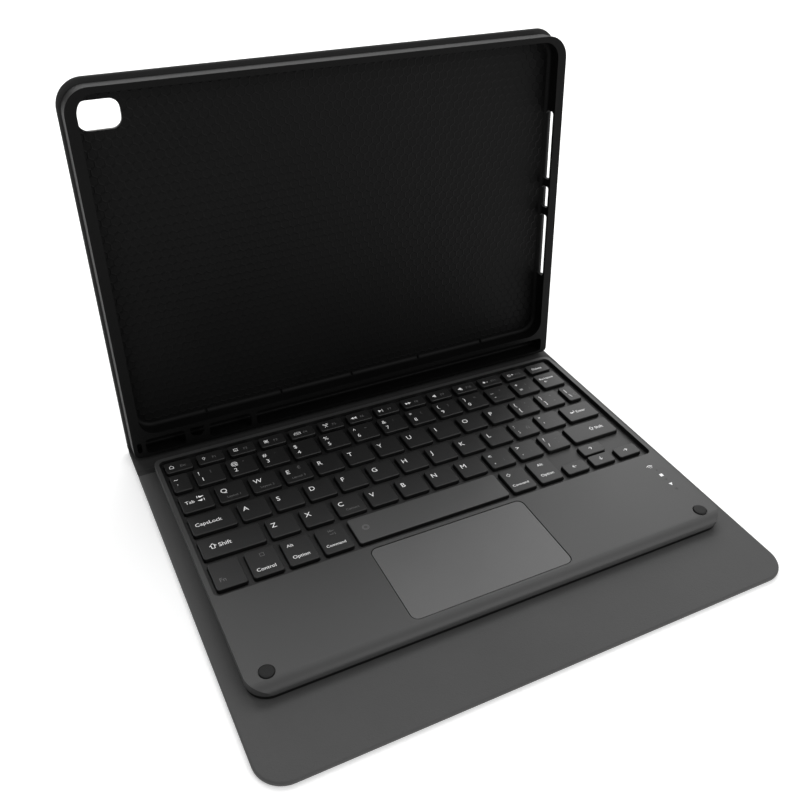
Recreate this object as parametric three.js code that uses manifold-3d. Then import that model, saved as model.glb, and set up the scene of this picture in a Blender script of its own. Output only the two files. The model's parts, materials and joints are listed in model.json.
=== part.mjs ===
// Tablet keyboard case: a folding cover, a tray that holds the tablet, and a
// flat wireless keyboard that slides off the base.
// Millimetres. X runs across, Y runs from the user's edge to the rear fold, Z is up.
// The origin is under the middle of the base panel.
import * as THREE from 'three';
import { mergeVertices } from 'three/addons/utils/BufferGeometryUtils.js';
import Module from 'manifold-3d';

const wasm = await Module();
wasm.setup();

// ---- shared clearances ----
const JOIN_GAP = 0.25;          // between bonded pieces of the leaning cover
const FIT_GAP = 0.3;            // between loose pieces
const SLIDE_GAP = 0.35;         // around keys, buttons and the touchpad
const CUT = 20;                 // how far a cutting tool runs past a face

// ---- tablet that the tray holds ----
const TABLET_WIDTH = 250.6;
const TABLET_HEIGHT = 174.1;
const TABLET_THICK = 7.5;
const TABLET_PLAY = 0.3;        // room round the tablet in height and width
const TABLET_RADIUS = 10;

// ---- tray ----
const SIDE_WALL = 4;
const TOP_WALL = 1.7;
const LEDGE = 1.7;              // wall between the tablet and the pen channel
const FOOT_WALL = 1.3;          // wall under the pen channel
const TRAY_FLOOR = 1.6;
const LIP_THICK = 1.6;          // rim that holds the tablet's edge
const LIP_REACH = 1.2;
const TRAY_PLAY = 0.8;          // room in front of the tablet
const PEN_DIAMETER = 8.9;
const PEN_WINDOW_INSET = 0.3;   // front strip left above and below each window
const PEN_FRONT = 1.5;          // thickness of the front strips
const PEN_END_WALL = 4.2;       // from the tray's side to the first window
const WINDOW_1 = 21.2;
const BRIDGE = 13.3;            // strip with the notch
const NOTCH_WIDTH = 7.6;
const WINDOW_2 = 23.6;
const DIVIDER = 3;
const END_HOLE_WIDTH = 2.4;
const END_HOLE_HEIGHT = 6;
const RIB_COUNT = 5;
const RIB_PITCH = 43.3;
const RIB_WIDTH = 0.8;
const RIB_RISE = 2.2;

// ---- openings of the tray ----
const CAMERA_WIDTH = 19.4;
const CAMERA_HEIGHT = 13.4;
const CAMERA_RADIUS = 4.8;
const CAMERA_INSET = 2;         // from the pocket's side to the hole
const CAMERA_DROP = 5.6;        // from the pocket's top to the hole
const PORT_LENGTH = 12.5;
const SPEAKER_LENGTH = 38;
const SLOT_BRIDGE = 4.4;        // wall left between the side slots
const SLOT_FLOOR = 0.5;         // from the tray floor to the slots
const SLOT_WIDTH = 6.4;
const SLOT_WALL = 1.5;          // side wall left at the slots, behind an outer recess
const SLOT_RECESS = 0.9;        // how far the recess runs past each slot

// ---- folding cover ----
const COVER_SIDE = 1.4;         // cover beyond the tray on each side
const BASE_OVERHANG = 3.4;      // base beyond the back cover when shut
const COVER_RADIUS = 13;
const HEM = 2.6;                // pressed edge round each panel
const SKIN = 0.8;
const BOARD = 1;
const LINING = 0.7;
const BACK_SKIN = 0.6;
const BACK_BOARD = 0.8;
const BACK_LINING = 0.5;
const BOND = 0.3;               // adhesive sheet behind the tray
const COVER_ABOVE_TRAY = 2.4;
const FLAP_LENGTH = 60;         // lower, unbonded part of the back cover
const CREASE = 2.5;
const LEAN = THREE.MathUtils.degToRad(5.8);
const CLOSED_GAP = 1.1;         // deck to tray rim when the case is shut
const FOOT_GAP = 0.65;          // tray foot to the spine lining when shut

// ---- keyboard ----
const KEYBOARD_RADIUS = 10;
const KEYBOARD_REAR_RADIUS = 4;
const KEYBOARD_BACK = 1.7;      // keyboard's rear edge to the front fold line
const PAN_FLOOR = 0.9;
const PAN_HEIGHT = 2.2;
const PAN_INSET = 0.4;
const SHELL_WALL = 1.4;
const DECK_THICK = 1;
const DECK_HEIGHT = 4.2;        // parting line to the top face
const NOSE_LENGTH = 6.5;        // rounded front edge
const REAR_ROUND = 1;
const WELL_SIDE = 2.1;          // border beside the key well
const WELL_REAR = 2;            // border behind the key well
const WELL_RADIUS = 3;
const WELL_DROP = 2.6;
const WELL_FLOOR = 0.7;
const WELL_WALL = 0.9;

// ---- keys ----
const KEY_DROP = 0.5;           // key tops below the deck
const KEY_TRAVEL = 1.2;
const KEY_RADIUS = 1.2;
const KEY_PITCH = 17.35;
const KEY_GAP = 2.9;
const KEY_DEPTH = 13.3;
const ROW_GAP = 3.5;
const BOTTOM_KEY_DEPTH = 17;
const BOTTOM_KEY_FRONT = 3.8;   // key well's front to the bottom row
const FUNCTION_KEY_DEPTH = 8.2;
const FUNCTION_ROW_GAP = 2.6;
const FUNCTION_KEY_GAP = 3.2;
const ARROW_GAP = 1.4;
const SMALL_PITCH = 16.6;       // keys right of the space bar
const KEYS_LEFT = 2.1;          // key well's left side to the first key
const KEYS_RIGHT = 3.8;         // last key to the key well's right side
const KEYS_REAR = 2.1;          // last row to the key well's rear
const FLANGE = 0.6;             // lip under the well floor that keeps a key in
const FLANGE_THICK = 0.5;
const FLANGE_GAP = 0.1;
const GRAVE_WIDTH = 9.2;
const BACKSPACE_WIDTH = 14.6;
const TAB_WIDTH = 15.6;
const CAPS_WIDTH = 21.7;
const SHIFT_WIDTH = 30.3;

// ---- other keyboard pieces ----
const TOUCHPAD_WIDTH = 83;
const TOUCHPAD_DEPTH = 46;
const TOUCHPAD_RADIUS = 3.5;
const TOUCHPAD_OFFSET = -5.8;
const TOUCHPAD_FRONT = 7;       // keyboard's front edge to the touchpad
const TOUCHPAD_REAR = 2.3;      // touchpad to the key well
const TOUCHPAD_THICK = 1.2;
const TOUCHPAD_CLICK = 0.4;
const BUMPER_DIAMETER = 6.6;
const BUMPER_RISE = 0.6;
const BUMPER_DEPTH = 0.6;
const BUMPER_SIDE = 9.5;
const BUMPER_FRONT = 9;
const LIGHT_SIDE = 9.3;
const LIGHT_FRONT = 26.7;
const LIGHT_PITCH = 7.8;
const LIGHT_COUNT = 3;
const LIGHT_DIAMETER = 1.1;
const SOCKET_WIDTH = 9;
const SOCKET_HEIGHT = 3.2;
const SOCKET_LENGTH = 7.4;
const SOCKET_FRONT = 20;
const SWITCH_LENGTH = 5;
const SWITCH_TRAVEL = 3;
const SWITCH_FRONT = 38;
const BATTERY_SIDE = 12;        // keyboard's side to the battery
const BATTERY_GAP = 9.2;        // battery to the touchpad
const BATTERY_INSET = 4;        // battery short of the touchpad's front and rear
const BATTERY_THICK = 3.4;
const CIRCUIT_SIDE = 12;        // keyboard's side to the circuit board
const CIRCUIT_GAP = 12.7;       // circuit board to the touchpad
const CIRCUIT_INSET = 6;        // circuit board short of the touchpad's front and rear
const CIRCUIT_THICK = 1;
const MEMBRANE_THICK = 0.4;
const MAGNET_LENGTH = 180;
const MAGNET_WIDTH = 6;
const MAGNET_THICK = 1.5;
const MAGNET_FRONT = 8;
const KEEPER_WIDTH = 12;
const KEEPER_THICK = 0.6;

// ---- heights and lines worked out from the sizes above ----
const KEYS_WIDTH = GRAVE_WIDTH + KEY_GAP + 12 * KEY_PITCH + BACKSPACE_WIDTH;
const WELL_WIDTH = KEYS_LEFT + KEYS_WIDTH + KEYS_RIGHT;
const KEYS_DEPTH = BOTTOM_KEY_DEPTH + 4 * (ROW_GAP + KEY_DEPTH) + FUNCTION_ROW_GAP + FUNCTION_KEY_DEPTH;
const WELL_DEPTH = BOTTOM_KEY_FRONT + KEYS_DEPTH + KEYS_REAR;
const WELL_FRONT = TOUCHPAD_FRONT + TOUCHPAD_DEPTH + TOUCHPAD_REAR;
const KEYBOARD_WIDTH = WELL_WIDTH + 2 * WELL_SIDE;
const KEYBOARD_DEPTH = WELL_FRONT + WELL_DEPTH + WELL_REAR;

const POCKET_WIDTH = TABLET_WIDTH + 2 * TABLET_PLAY;
const POCKET_HEIGHT = TABLET_HEIGHT + TABLET_PLAY;
const TRAY_WIDTH = POCKET_WIDTH + 2 * SIDE_WALL;
const TRAY_RADIUS = TABLET_RADIUS + TOP_WALL;
const TRAY_DEPTH = TRAY_FLOOR + TABLET_THICK + TRAY_PLAY + LIP_THICK;
const PEN_BORE = PEN_DIAMETER + TABLET_PLAY;
const POCKET_Z = FOOT_WALL + PEN_BORE + LEDGE;
const TRAY_HEIGHT = POCKET_Z + POCKET_HEIGHT + TOP_WALL;

const BASE_THICK = SKIN + BOARD + LINING;
const COVER_WIDTH = TRAY_WIDTH + 2 * COVER_SIDE;
const REAR_FOLD_T = -FOOT_GAP - BASE_THICK / 2;
const BACK_HIGH_T = TRAY_HEIGHT + COVER_ABOVE_TRAY;
const BASE_DEPTH = BACK_HIGH_T - REAR_FOLD_T + BASE_OVERHANG;
const FOLD_Z = BASE_THICK / 2;
const FOLD_CLEAR = BASE_THICK / 2 + FIT_GAP;
const FRONT_FOLD_Y = BASE_DEPTH / 2;
const PAN_Z = BASE_THICK + FIT_GAP;
const PARTING_Z = PAN_Z + PAN_HEIGHT + FIT_GAP;
const DECK_TOP = PARTING_Z + DECK_HEIGHT;
const KEYBOARD_REAR = FRONT_FOLD_Y - KEYBOARD_BACK;
const KEYBOARD_FRONT = KEYBOARD_REAR - KEYBOARD_DEPTH;
const WELL_Y0 = KEYBOARD_FRONT + WELL_FRONT;
const WELL_Y1 = WELL_Y0 + WELL_DEPTH;
const WELL_Z = DECK_TOP - WELL_DROP;
const KEY_TOP = DECK_TOP - KEY_DROP;
const FLANGE_TOP = WELL_Z - WELL_FLOOR - FLANGE_GAP;
const FLANGE_Z = FLANGE_TOP - FLANGE_THICK;
const MEMBRANE_Z = FLANGE_Z - KEY_TRAVEL - FLANGE_GAP - MEMBRANE_THICK;
const INNER_Z = PAN_Z + PAN_FLOOR;

// Places in the leaning cover are measured back from the rim and up from the foot.
const BOND_N = TRAY_DEPTH + JOIN_GAP;
const LINING_N = BOND_N + BOND + JOIN_GAP;
const BOARD_N = LINING_N + BACK_LINING + JOIN_GAP;
const SKIN_N = BOARD_N + BACK_BOARD + JOIN_GAP;
const COVER_N = SKIN_N + BACK_SKIN;
const REAR_FOLD_N = COVER_N - FOLD_Z;
const SPINE_RUN = REAR_FOLD_N + DECK_TOP + CLOSED_GAP - FOLD_Z;
const REAR_FOLD_Y = FRONT_FOLD_Y + SPINE_RUN;
const BACK_LOW_T = REAR_FOLD_T + FOLD_CLEAR;
const CREASE_T = REAR_FOLD_T + FLAP_LENGTH;

// ---- colours ----
const BLACK_TPU = { color: 0x141416, roughness: 0.62, metalness: 0 };
const GREY_LEATHER = { color: 0x35363a, roughness: 0.7, metalness: 0 };
const LINING_GREY = { color: 0x47484c, roughness: 0.8, metalness: 0 };
const GREY_BOARD = { color: 0x6f6a60, roughness: 0.9, metalness: 0 };
const DARK_PLASTIC = { color: 0x2a2b2e, roughness: 0.5, metalness: 0 };
const KEY_PLASTIC = { color: 0x1d1e20, roughness: 0.55, metalness: 0 };
const RUBBER = { color: 0x0e0e10, roughness: 0.8, metalness: 0 };
const STEEL = { color: 0x9a9da1, roughness: 0.35, metalness: 1 };
const GREEN_BOARD = { color: 0x1f5a3a, roughness: 0.5, metalness: 0 };
const SILVER_CELL = { color: 0xb5b7ba, roughness: 0.4, metalness: 0.6 };
const CLEAR_FILM = { color: 0xc9ccd2, roughness: 0.4, metalness: 0 };
const AMBER_TAPE = { color: 0xd8d2c0, roughness: 0.7, metalness: 0 };

// ---- solids ----
function toSolid(geometry) {
  const bare = geometry.clone();
  bare.deleteAttribute('normal');
  bare.deleteAttribute('uv');
  const welded = mergeVertices(bare, 1e-4);
  return new wasm.Manifold(new wasm.Mesh({
    numProp: 3,
    vertProperties: new Float32Array(welded.attributes.position.array),
    triVerts: new Uint32Array(welded.index.array),
  }));
}

function toGeometry(solid) {
  const mesh = solid.getMesh();
  const geometry = new THREE.BufferGeometry();
  geometry.setAttribute('position', new THREE.BufferAttribute(mesh.vertProperties, 3));
  geometry.setIndex(new THREE.BufferAttribute(mesh.triVerts, 1));
  geometry.computeVertexNormals();
  return geometry;
}

// A rounded rectangle; radii go front-left, front-right, rear-right, rear-left.
function roundedRect(x0, y0, x1, y1, radii) {
  const [a, b, c, d] = Array.isArray(radii) ? radii : [radii, radii, radii, radii];
  const shape = new THREE.Shape();
  shape.moveTo(x0 + a, y0);
  shape.lineTo(x1 - b, y0);
  if (b > 0) shape.absarc(x1 - b, y0 + b, b, -Math.PI / 2, 0, false);
  shape.lineTo(x1, y1 - c);
  if (c > 0) shape.absarc(x1 - c, y1 - c, c, 0, Math.PI / 2, false);
  shape.lineTo(x0 + d, y1);
  if (d > 0) shape.absarc(x0 + d, y1 - d, d, Math.PI / 2, Math.PI, false);
  shape.lineTo(x0, y0 + a);
  if (a > 0) shape.absarc(x0 + a, y0 + a, a, Math.PI, 1.5 * Math.PI, false);
  return shape;
}

// Extrudes a flat outline from z0 to z1.
function slab(shape, z0, z1, curveSegments = 5) {
  const geometry = new THREE.ExtrudeGeometry(shape, {
    depth: z1 - z0, bevelEnabled: false, curveSegments,
  });
  geometry.translate(0, 0, z0);
  return toSolid(geometry);
}

// A slab whose outline is drawn across X and up the tray, and whose thickness
// runs back from n0 to n1.
function panel(shape, n0, n1, curveSegments = 5) {
  const geometry = new THREE.ExtrudeGeometry(shape, {
    depth: n1 - n0, bevelEnabled: false, curveSegments,
  });
  geometry.rotateX(Math.PI / 2);
  geometry.translate(0, n1, 0);
  return toSolid(geometry);
}

function block(x0, x1, y0, y1, z0, z1) {
  const geometry = new THREE.BoxGeometry(x1 - x0, y1 - y0, z1 - z0);
  geometry.translate((x0 + x1) / 2, (y0 + y1) / 2, (z0 + z1) / 2);
  return toSolid(geometry);
}

function disc(diameter, x, y, z0, z1, segments = 24) {
  const geometry = new THREE.CylinderGeometry(diameter / 2, diameter / 2, z1 - z0, segments);
  geometry.rotateX(Math.PI / 2);
  geometry.translate(x, y, (z0 + z1) / 2);
  return toSolid(geometry);
}

function joined(solids) {
  return solids.reduce((whole, solid) => whole.add(solid));
}

const caseGroup = new THREE.Group();
const leaningGroup = new THREE.Group();
leaningGroup.position.set(0, REAR_FOLD_Y, FOLD_Z);
leaningGroup.rotation.x = -LEAN;
caseGroup.add(leaningGroup);

function addPiece(name, solid, finish, group = caseGroup) {
  const mesh = new THREE.Mesh(toGeometry(solid), new THREE.MeshStandardMaterial(finish));
  mesh.name = name;
  group.add(mesh);
  if (group === leaningGroup) mesh.position.set(0, -REAR_FOLD_N, -REAR_FOLD_T);
}

// ---- base panel and spine: skin with a hem, stiff board, lining ----
function addFlatPanel(prefix, y0, y1, radii, boardCuts) {
  const half = COVER_WIDTH / 2;
  const inner = HEM + FIT_GAP;
  const outline = roundedRect(-half, y0, half, y1, radii);
  const inset = (r) => Math.max(r - HEM, 0.5);
  const pocket = roundedRect(-half + HEM, y0 + HEM, half - HEM, y1 - HEM, radii.map(inset));
  const filling = roundedRect(-half + inner, y0 + inner, half - inner, y1 - inner, radii.map(inset));
  const skin = slab(outline, 0, BASE_THICK, 8).subtract(slab(pocket, SKIN, BASE_THICK + CUT, 8));
  let board = slab(filling, SKIN, SKIN + BOARD, 8);
  for (const cut of boardCuts) board = board.subtract(cut);
  addPiece(`${prefix}_skin`, skin, GREY_LEATHER);
  addPiece(`${prefix}_board`, board, GREY_BOARD);
  addPiece(`${prefix}_lining`, slab(filling, SKIN + BOARD, BASE_THICK, 8), LINING_GREY);
}

const keeperY = KEYBOARD_FRONT + MAGNET_FRONT;
const keeperHalf = MAGNET_LENGTH / 2 + FIT_GAP;

function keeperOutline(margin) {
  return roundedRect(
    -keeperHalf - margin, keeperY - KEEPER_WIDTH / 2 - margin,
    keeperHalf + margin, keeperY + KEEPER_WIDTH / 2 + margin, 1,
  );
}

const keeperTop = SKIN + BOARD;
const keeperSeat = slab(keeperOutline(FIT_GAP), keeperTop - KEEPER_THICK, keeperTop + CUT);
addFlatPanel('base', -BASE_DEPTH / 2, FRONT_FOLD_Y - FOLD_CLEAR,
  [COVER_RADIUS, COVER_RADIUS, 1, 1], [keeperSeat]);
addPiece('steel_keeper_strip', slab(keeperOutline(0), keeperTop - KEEPER_THICK, keeperTop), STEEL);
addFlatPanel('spine', FRONT_FOLD_Y + FOLD_CLEAR, REAR_FOLD_Y - FOLD_CLEAR, [1, 1, 1, 1], []);

// ---- leaning back cover ----
const pocketTop = POCKET_Z + POCKET_HEIGHT;
const cameraLeft = -POCKET_WIDTH / 2 + CAMERA_INSET;

function cameraCut(margin) {
  const top = pocketTop - CAMERA_DROP;
  const outline = roundedRect(
    cameraLeft - margin, top - CAMERA_HEIGHT - margin,
    cameraLeft + CAMERA_WIDTH + margin, top + margin, CAMERA_RADIUS,
  );
  return panel(outline, -CUT, COVER_N + CUT, 6);
}

function addBackCover() {
  const half = COVER_WIDTH / 2;
  const inner = HEM + FIT_GAP;
  const radii = [1, 1, COVER_RADIUS, COVER_RADIUS];
  const inset = radii.map((r) => Math.max(r - HEM, 0.5));
  const outline = roundedRect(-half, BACK_LOW_T, half, BACK_HIGH_T, radii);
  const pocket = roundedRect(-half + HEM, BACK_LOW_T + HEM, half - HEM, BACK_HIGH_T - HEM, inset);
  const flap = roundedRect(-half + inner, BACK_LOW_T + inner, half - inner, CREASE_T - CREASE / 2, 1);
  const upper = roundedRect(-half + inner, CREASE_T + CREASE / 2, half - inner,
    BACK_HIGH_T - inner, [1, 1, inset[2], inset[3]]);
  const filling = roundedRect(-half + inner, BACK_LOW_T + inner, half - inner,
    BACK_HIGH_T - inner, inset);
  const camera = cameraCut(0.4);
  const skin = panel(outline, LINING_N, COVER_N, 8).subtract(panel(pocket, -CUT, SKIN_N, 8));
  const rim = skin.subtract(camera);
  addPiece('back_skin', rim, GREY_LEATHER, leaningGroup);
  addPiece('lower_flap_board', panel(flap, BOARD_N, BOARD_N + BACK_BOARD), GREY_BOARD, leaningGroup);
  addPiece('back_board', panel(upper, BOARD_N, BOARD_N + BACK_BOARD, 8).subtract(camera),
    GREY_BOARD, leaningGroup);
  addPiece('back_lining', panel(filling, LINING_N, LINING_N + BACK_LINING, 8).subtract(camera),
    LINING_GREY, leaningGroup);
  const bond = roundedRect(-TRAY_WIDTH / 2 + 6, CREASE_T + 4, TRAY_WIDTH / 2 - 6, TRAY_HEIGHT - 6, 5);
  addPiece('bonding_sheet', panel(bond, BOND_N, BOND_N + BOND).subtract(cameraCut(2)),
    AMBER_TAPE, leaningGroup);
}

// ---- tray for the tablet, with the pen channel in its foot ----
const pocketMiddle = POCKET_Z + POCKET_HEIGHT / 2;
const slotN1 = TRAY_DEPTH - TRAY_FLOOR - SLOT_FLOOR;
const slotN0 = slotN1 - SLOT_WIDTH;

function sideSlots() {
  const longStart = PORT_LENGTH / 2 + SLOT_BRIDGE;
  return [
    [-PORT_LENGTH / 2, PORT_LENGTH / 2],
    [longStart, longStart + SPEAKER_LENGTH],
    [-longStart - SPEAKER_LENGTH, -longStart],
  ];
}

function penWindows() {
  const left = -TRAY_WIDTH / 2 + PEN_END_WALL + END_HOLE_WIDTH;
  const right = TRAY_WIDTH / 2 - PEN_END_WALL;
  const second = left + WINDOW_1 + BRIDGE;
  return [
    [left, left + WINDOW_1],
    [second, second + WINDOW_2],
    [second + WINDOW_2 + DIVIDER, right],
  ];
}

function addTray() {
  const half = TRAY_WIDTH / 2;
  const pocketHalf = POCKET_WIDTH / 2;
  const outer = panel(roundedRect(-half, 0, half, TRAY_HEIGHT,
    [3, 3, TRAY_RADIUS, TRAY_RADIUS]), 0, TRAY_DEPTH, 8);
  const hollow = panel(roundedRect(-pocketHalf, POCKET_Z, pocketHalf, pocketTop,
    TABLET_RADIUS), LIP_THICK, TRAY_DEPTH - TRAY_FLOOR, 8);
  const mouth = panel(roundedRect(-pocketHalf + LIP_REACH, POCKET_Z + LIP_REACH / 2,
    pocketHalf - LIP_REACH, pocketTop - LIP_REACH, TABLET_RADIUS - LIP_REACH),
  -CUT, LIP_THICK + 0.1, 8);
  let tray = outer.subtract(hollow).subtract(mouth).subtract(cameraCut(0));

  const boreTop = FOOT_WALL + PEN_BORE;
  const windows = penWindows();
  const boreLeft = windows[0][0];
  const boreRight = windows[windows.length - 1][1];
  const bore = panel(roundedRect(boreLeft, FOOT_WALL, boreRight, boreTop, 2),
    PEN_FRONT, PEN_FRONT + PEN_BORE - 0.6);
  tray = tray.subtract(bore);
  for (const [x0, x1] of windows) {
    tray = tray.subtract(panel(roundedRect(x0, FOOT_WALL + PEN_WINDOW_INSET, x1,
      boreTop - PEN_WINDOW_INSET, 2), -CUT, PEN_FRONT + 0.1));
  }
  const notchLeft = windows[0][1] + (BRIDGE - NOTCH_WIDTH) / 2;
  tray = tray.subtract(panel(roundedRect(notchLeft, FOOT_WALL + PEN_BORE / 3,
    notchLeft + NOTCH_WIDTH, boreTop - PEN_WINDOW_INSET,
    [NOTCH_WIDTH / 2 - 0.4, NOTCH_WIDTH / 2 - 0.4, 0.6, 0.6]), -CUT, PEN_FRONT + 0.1));
  const endLeft = -half + PEN_END_WALL / 2;
  const endLow = FOOT_WALL + (PEN_BORE - END_HOLE_HEIGHT) / 2;
  tray = tray.subtract(panel(roundedRect(endLeft, endLow, endLeft + END_HOLE_WIDTH,
    endLow + END_HOLE_HEIGHT, END_HOLE_WIDTH / 2 - 0.05), -CUT, PEN_FRONT + 3));

  for (const [t0, t1] of sideSlots()) {
    const slot = roundedRect(slotN0, pocketMiddle + t0, slotN1, pocketMiddle + t1, 2);
    const cutter = new THREE.ExtrudeGeometry(slot, {
      depth: SIDE_WALL + CUT, bevelEnabled: false, curveSegments: 5,
    });
    // the outline's first axis becomes the depth of the tray, its second the height
    cutter.applyMatrix4(new THREE.Matrix4().set(
      0, 0, 1, pocketHalf - 1,
      1, 0, 0, 0,
      0, 1, 0, 0,
      0, 0, 0, 1,
    ));
    const recess = block(pocketHalf + SLOT_WALL, half + CUT, slotN0 - SLOT_RECESS / 2, TRAY_DEPTH + CUT,
      pocketMiddle + t0 - SLOT_RECESS, pocketMiddle + t1 + SLOT_RECESS);
    tray = tray.subtract(toSolid(cutter)).subtract(recess);
  }

  const floorN = TRAY_DEPTH - TRAY_FLOOR;
  for (let i = 0; i < RIB_COUNT; i += 1) {
    const x = (i - (RIB_COUNT - 1) / 2) * RIB_PITCH;
    tray = tray.add(block(x - RIB_WIDTH / 2, x + RIB_WIDTH / 2, floorN - 0.5, floorN + 0.2,
      POCKET_Z - 0.2, POCKET_Z + RIB_RISE));
  }
  addPiece('tray_shell', tray, BLACK_TPU, leaningGroup);
}

addBackCover();
addTray();

// ---- keyboard shells ----
const halfKeyboard = KEYBOARD_WIDTH / 2;
const wellHalf = WELL_WIDTH / 2;
const shellRadii = [KEYBOARD_RADIUS, KEYBOARD_RADIUS, KEYBOARD_REAR_RADIUS, KEYBOARD_REAR_RADIUS];

function keyboardOutline(inset) {
  return roundedRect(-halfKeyboard + inset, KEYBOARD_FRONT + inset, halfKeyboard - inset,
    KEYBOARD_REAR - inset, shellRadii.map((r) => Math.max(r - inset, 0.5)));
}

// The deck seen from the side: long round nose, flat top, small rear round.
function deckProfile() {
  const shape = new THREE.Shape();
  shape.moveTo(KEYBOARD_FRONT, PARTING_Z);
  shape.absellipse(KEYBOARD_FRONT + NOSE_LENGTH, PARTING_Z + 0.6, NOSE_LENGTH, DECK_HEIGHT - 0.6,
    Math.PI, Math.PI / 2, true);
  shape.lineTo(KEYBOARD_REAR - REAR_ROUND, DECK_TOP);
  shape.absarc(KEYBOARD_REAR - REAR_ROUND, DECK_TOP - REAR_ROUND, REAR_ROUND, Math.PI / 2, 0, true);
  shape.lineTo(KEYBOARD_REAR, PARTING_Z);
  return shape;
}

// Side openings for the socket and the switch, cut through both shells.
const socketY = KEYBOARD_FRONT + SOCKET_FRONT;
const switchY = KEYBOARD_FRONT + SWITCH_FRONT;
const socketZ = INNER_Z + FIT_GAP;
const switchZ = PARTING_Z - 0.6;
const wallX = halfKeyboard - PAN_INSET - SHELL_WALL;
const sideCuts = [
  block(wallX - FIT_GAP, halfKeyboard + CUT, socketY - SOCKET_WIDTH / 2 - FIT_GAP,
    socketY + SOCKET_WIDTH / 2 + FIT_GAP, socketZ - FIT_GAP, socketZ + SOCKET_HEIGHT + FIT_GAP),
  block(wallX - FIT_GAP, halfKeyboard + CUT, switchY - SLIDE_GAP,
    switchY + SWITCH_LENGTH + SWITCH_TRAVEL + SLIDE_GAP, switchZ - SLIDE_GAP,
    switchZ + 2 + SLIDE_GAP),
];

function addBottomPan() {
  const outer = slab(keyboardOutline(PAN_INSET), PAN_Z, PAN_Z + PAN_HEIGHT, 6);
  const inner = slab(keyboardOutline(PAN_INSET + SHELL_WALL), INNER_Z, PAN_Z + CUT, 6);
  let pan = outer.subtract(inner);
  for (const cut of sideCuts) pan = pan.subtract(cut);
  addPiece('bottom_shell', pan, DARK_PLASTIC);
}

// ---- key layout ----
const keysX0 = -wellHalf + KEYS_LEFT;
const keysX1 = wellHalf - KEYS_RIGHT;
const bottomRowY = WELL_Y0 + BOTTOM_KEY_FRONT;
const rowY = [1, 2, 3, 4].map(
  (row) => bottomRowY + BOTTOM_KEY_DEPTH + row * ROW_GAP + (row - 1) * KEY_DEPTH);
const functionRowY = rowY[3] + KEY_DEPTH + FUNCTION_ROW_GAP;
const keyWidth = KEY_PITCH - KEY_GAP;

// One row: a first key of its own width, plain keys, and a last key that fills the row.
function letterRow(y, firstWidth, names) {
  const keys = [{ name: names[0], x0: keysX0, x1: keysX0 + firstWidth, y0: y, y1: y + KEY_DEPTH }];
  for (let i = 1; i < names.length; i += 1) {
    const x0 = keysX0 + firstWidth + KEY_GAP + (i - 1) * KEY_PITCH;
    const x1 = i === names.length - 1 ? keysX1 : x0 + keyWidth;
    keys.push({ name: names[i], x0, x1, y0: y, y1: y + KEY_DEPTH });
  }
  return keys;
}

function bottomRow() {
  const y1 = bottomRowY + BOTTOM_KEY_DEPTH;
  const keys = [];
  for (let i = 0; i < 4; i += 1) {
    const x0 = keysX0 + i * KEY_PITCH;
    keys.push({ name: `modifier${i}`, x0, x1: x0 + keyWidth, y0: bottomRowY, y1 });
  }
  const rightX = keysX1 - 4 * SMALL_PITCH - (SMALL_PITCH - KEY_GAP);
  keys.push({ name: 'space', x0: keysX0 + 4 * KEY_PITCH, x1: rightX - KEY_GAP, y0: bottomRowY, y1 });
  const half = (BOTTOM_KEY_DEPTH - ARROW_GAP) / 2;
  for (let i = 0; i < 5; i += 1) {
    const x0 = rightX + i * SMALL_PITCH;
    const x1 = x0 + SMALL_PITCH - KEY_GAP;
    keys.push({ name: `right${i}`, x0, x1, y0: bottomRowY, y1: i < 2 ? y1 : bottomRowY + half });
    if (i === 3) keys.push({ name: 'right_up', x0, x1, y0: y1 - half, y1 });
  }
  return keys;
}

function functionRow() {
  const count = 14;
  const width = (keysX1 - keysX0 - (count - 1) * FUNCTION_KEY_GAP) / count;
  const y1 = functionRowY + FUNCTION_KEY_DEPTH;
  return Array.from({ length: count }, (_, i) => {
    const x0 = keysX0 + i * (width + FUNCTION_KEY_GAP);
    return { name: `function${i}`, x0, x1: x0 + width, y0: functionRowY, y1 };
  });
}

const shiftRow = letterRow(rowY[0], SHIFT_WIDTH,
  ['shift', 'z', 'x', 'c', 'v', 'b', 'n', 'm', 'comma', 'stop', 'slash', 'shift_right']);
const homeRow = letterRow(rowY[1], CAPS_WIDTH,
  ['caps', 'a', 's', 'd', 'f', 'g', 'h', 'j', 'k', 'l', 'semicolon', 'quote', 'enter']);
const upperRow = letterRow(rowY[2], TAB_WIDTH,
  ['tab', 'q', 'w', 'e', 'r', 't', 'y', 'u', 'i', 'o', 'p', 'bracket', 'bracket_close', 'backslash']);
const numberRow = letterRow(rowY[3], GRAVE_WIDTH,
  ['grave', '1', '2', '3', '4', '5', '6', '7', '8', '9', '0', 'minus', 'equals', 'backspace']);
const spaceRow = bottomRow();
const topRow = functionRow();
const allKeys = [...shiftRow, ...homeRow, ...upperRow, ...numberRow, ...spaceRow, ...topRow];

function keyOutline(key, margin) {
  return roundedRect(key.x0 - margin, key.y0 - margin, key.x1 + margin, key.y1 + margin,
    KEY_RADIUS + margin);
}

function keyCap(key) {
  return slab(keyOutline(key, 0), FLANGE_TOP - 0.1, KEY_TOP, 2);
}

// The lip under the well floor; keys that share one lip move together.
function lip(keys) {
  const x0 = Math.min(...keys.map((key) => key.x0)) - FLANGE;
  const x1 = Math.max(...keys.map((key) => key.x1)) + FLANGE;
  const y0 = Math.min(...keys.map((key) => key.y0)) - FLANGE;
  const y1 = Math.max(...keys.map((key) => key.y1)) + FLANGE;
  return block(x0, x1, y0, y1, FLANGE_Z, FLANGE_TOP);
}

function addKeys(name, keys, lips) {
  addPiece(name, joined([...lips, ...keys.map(keyCap)]), KEY_PLASTIC);
}

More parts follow.
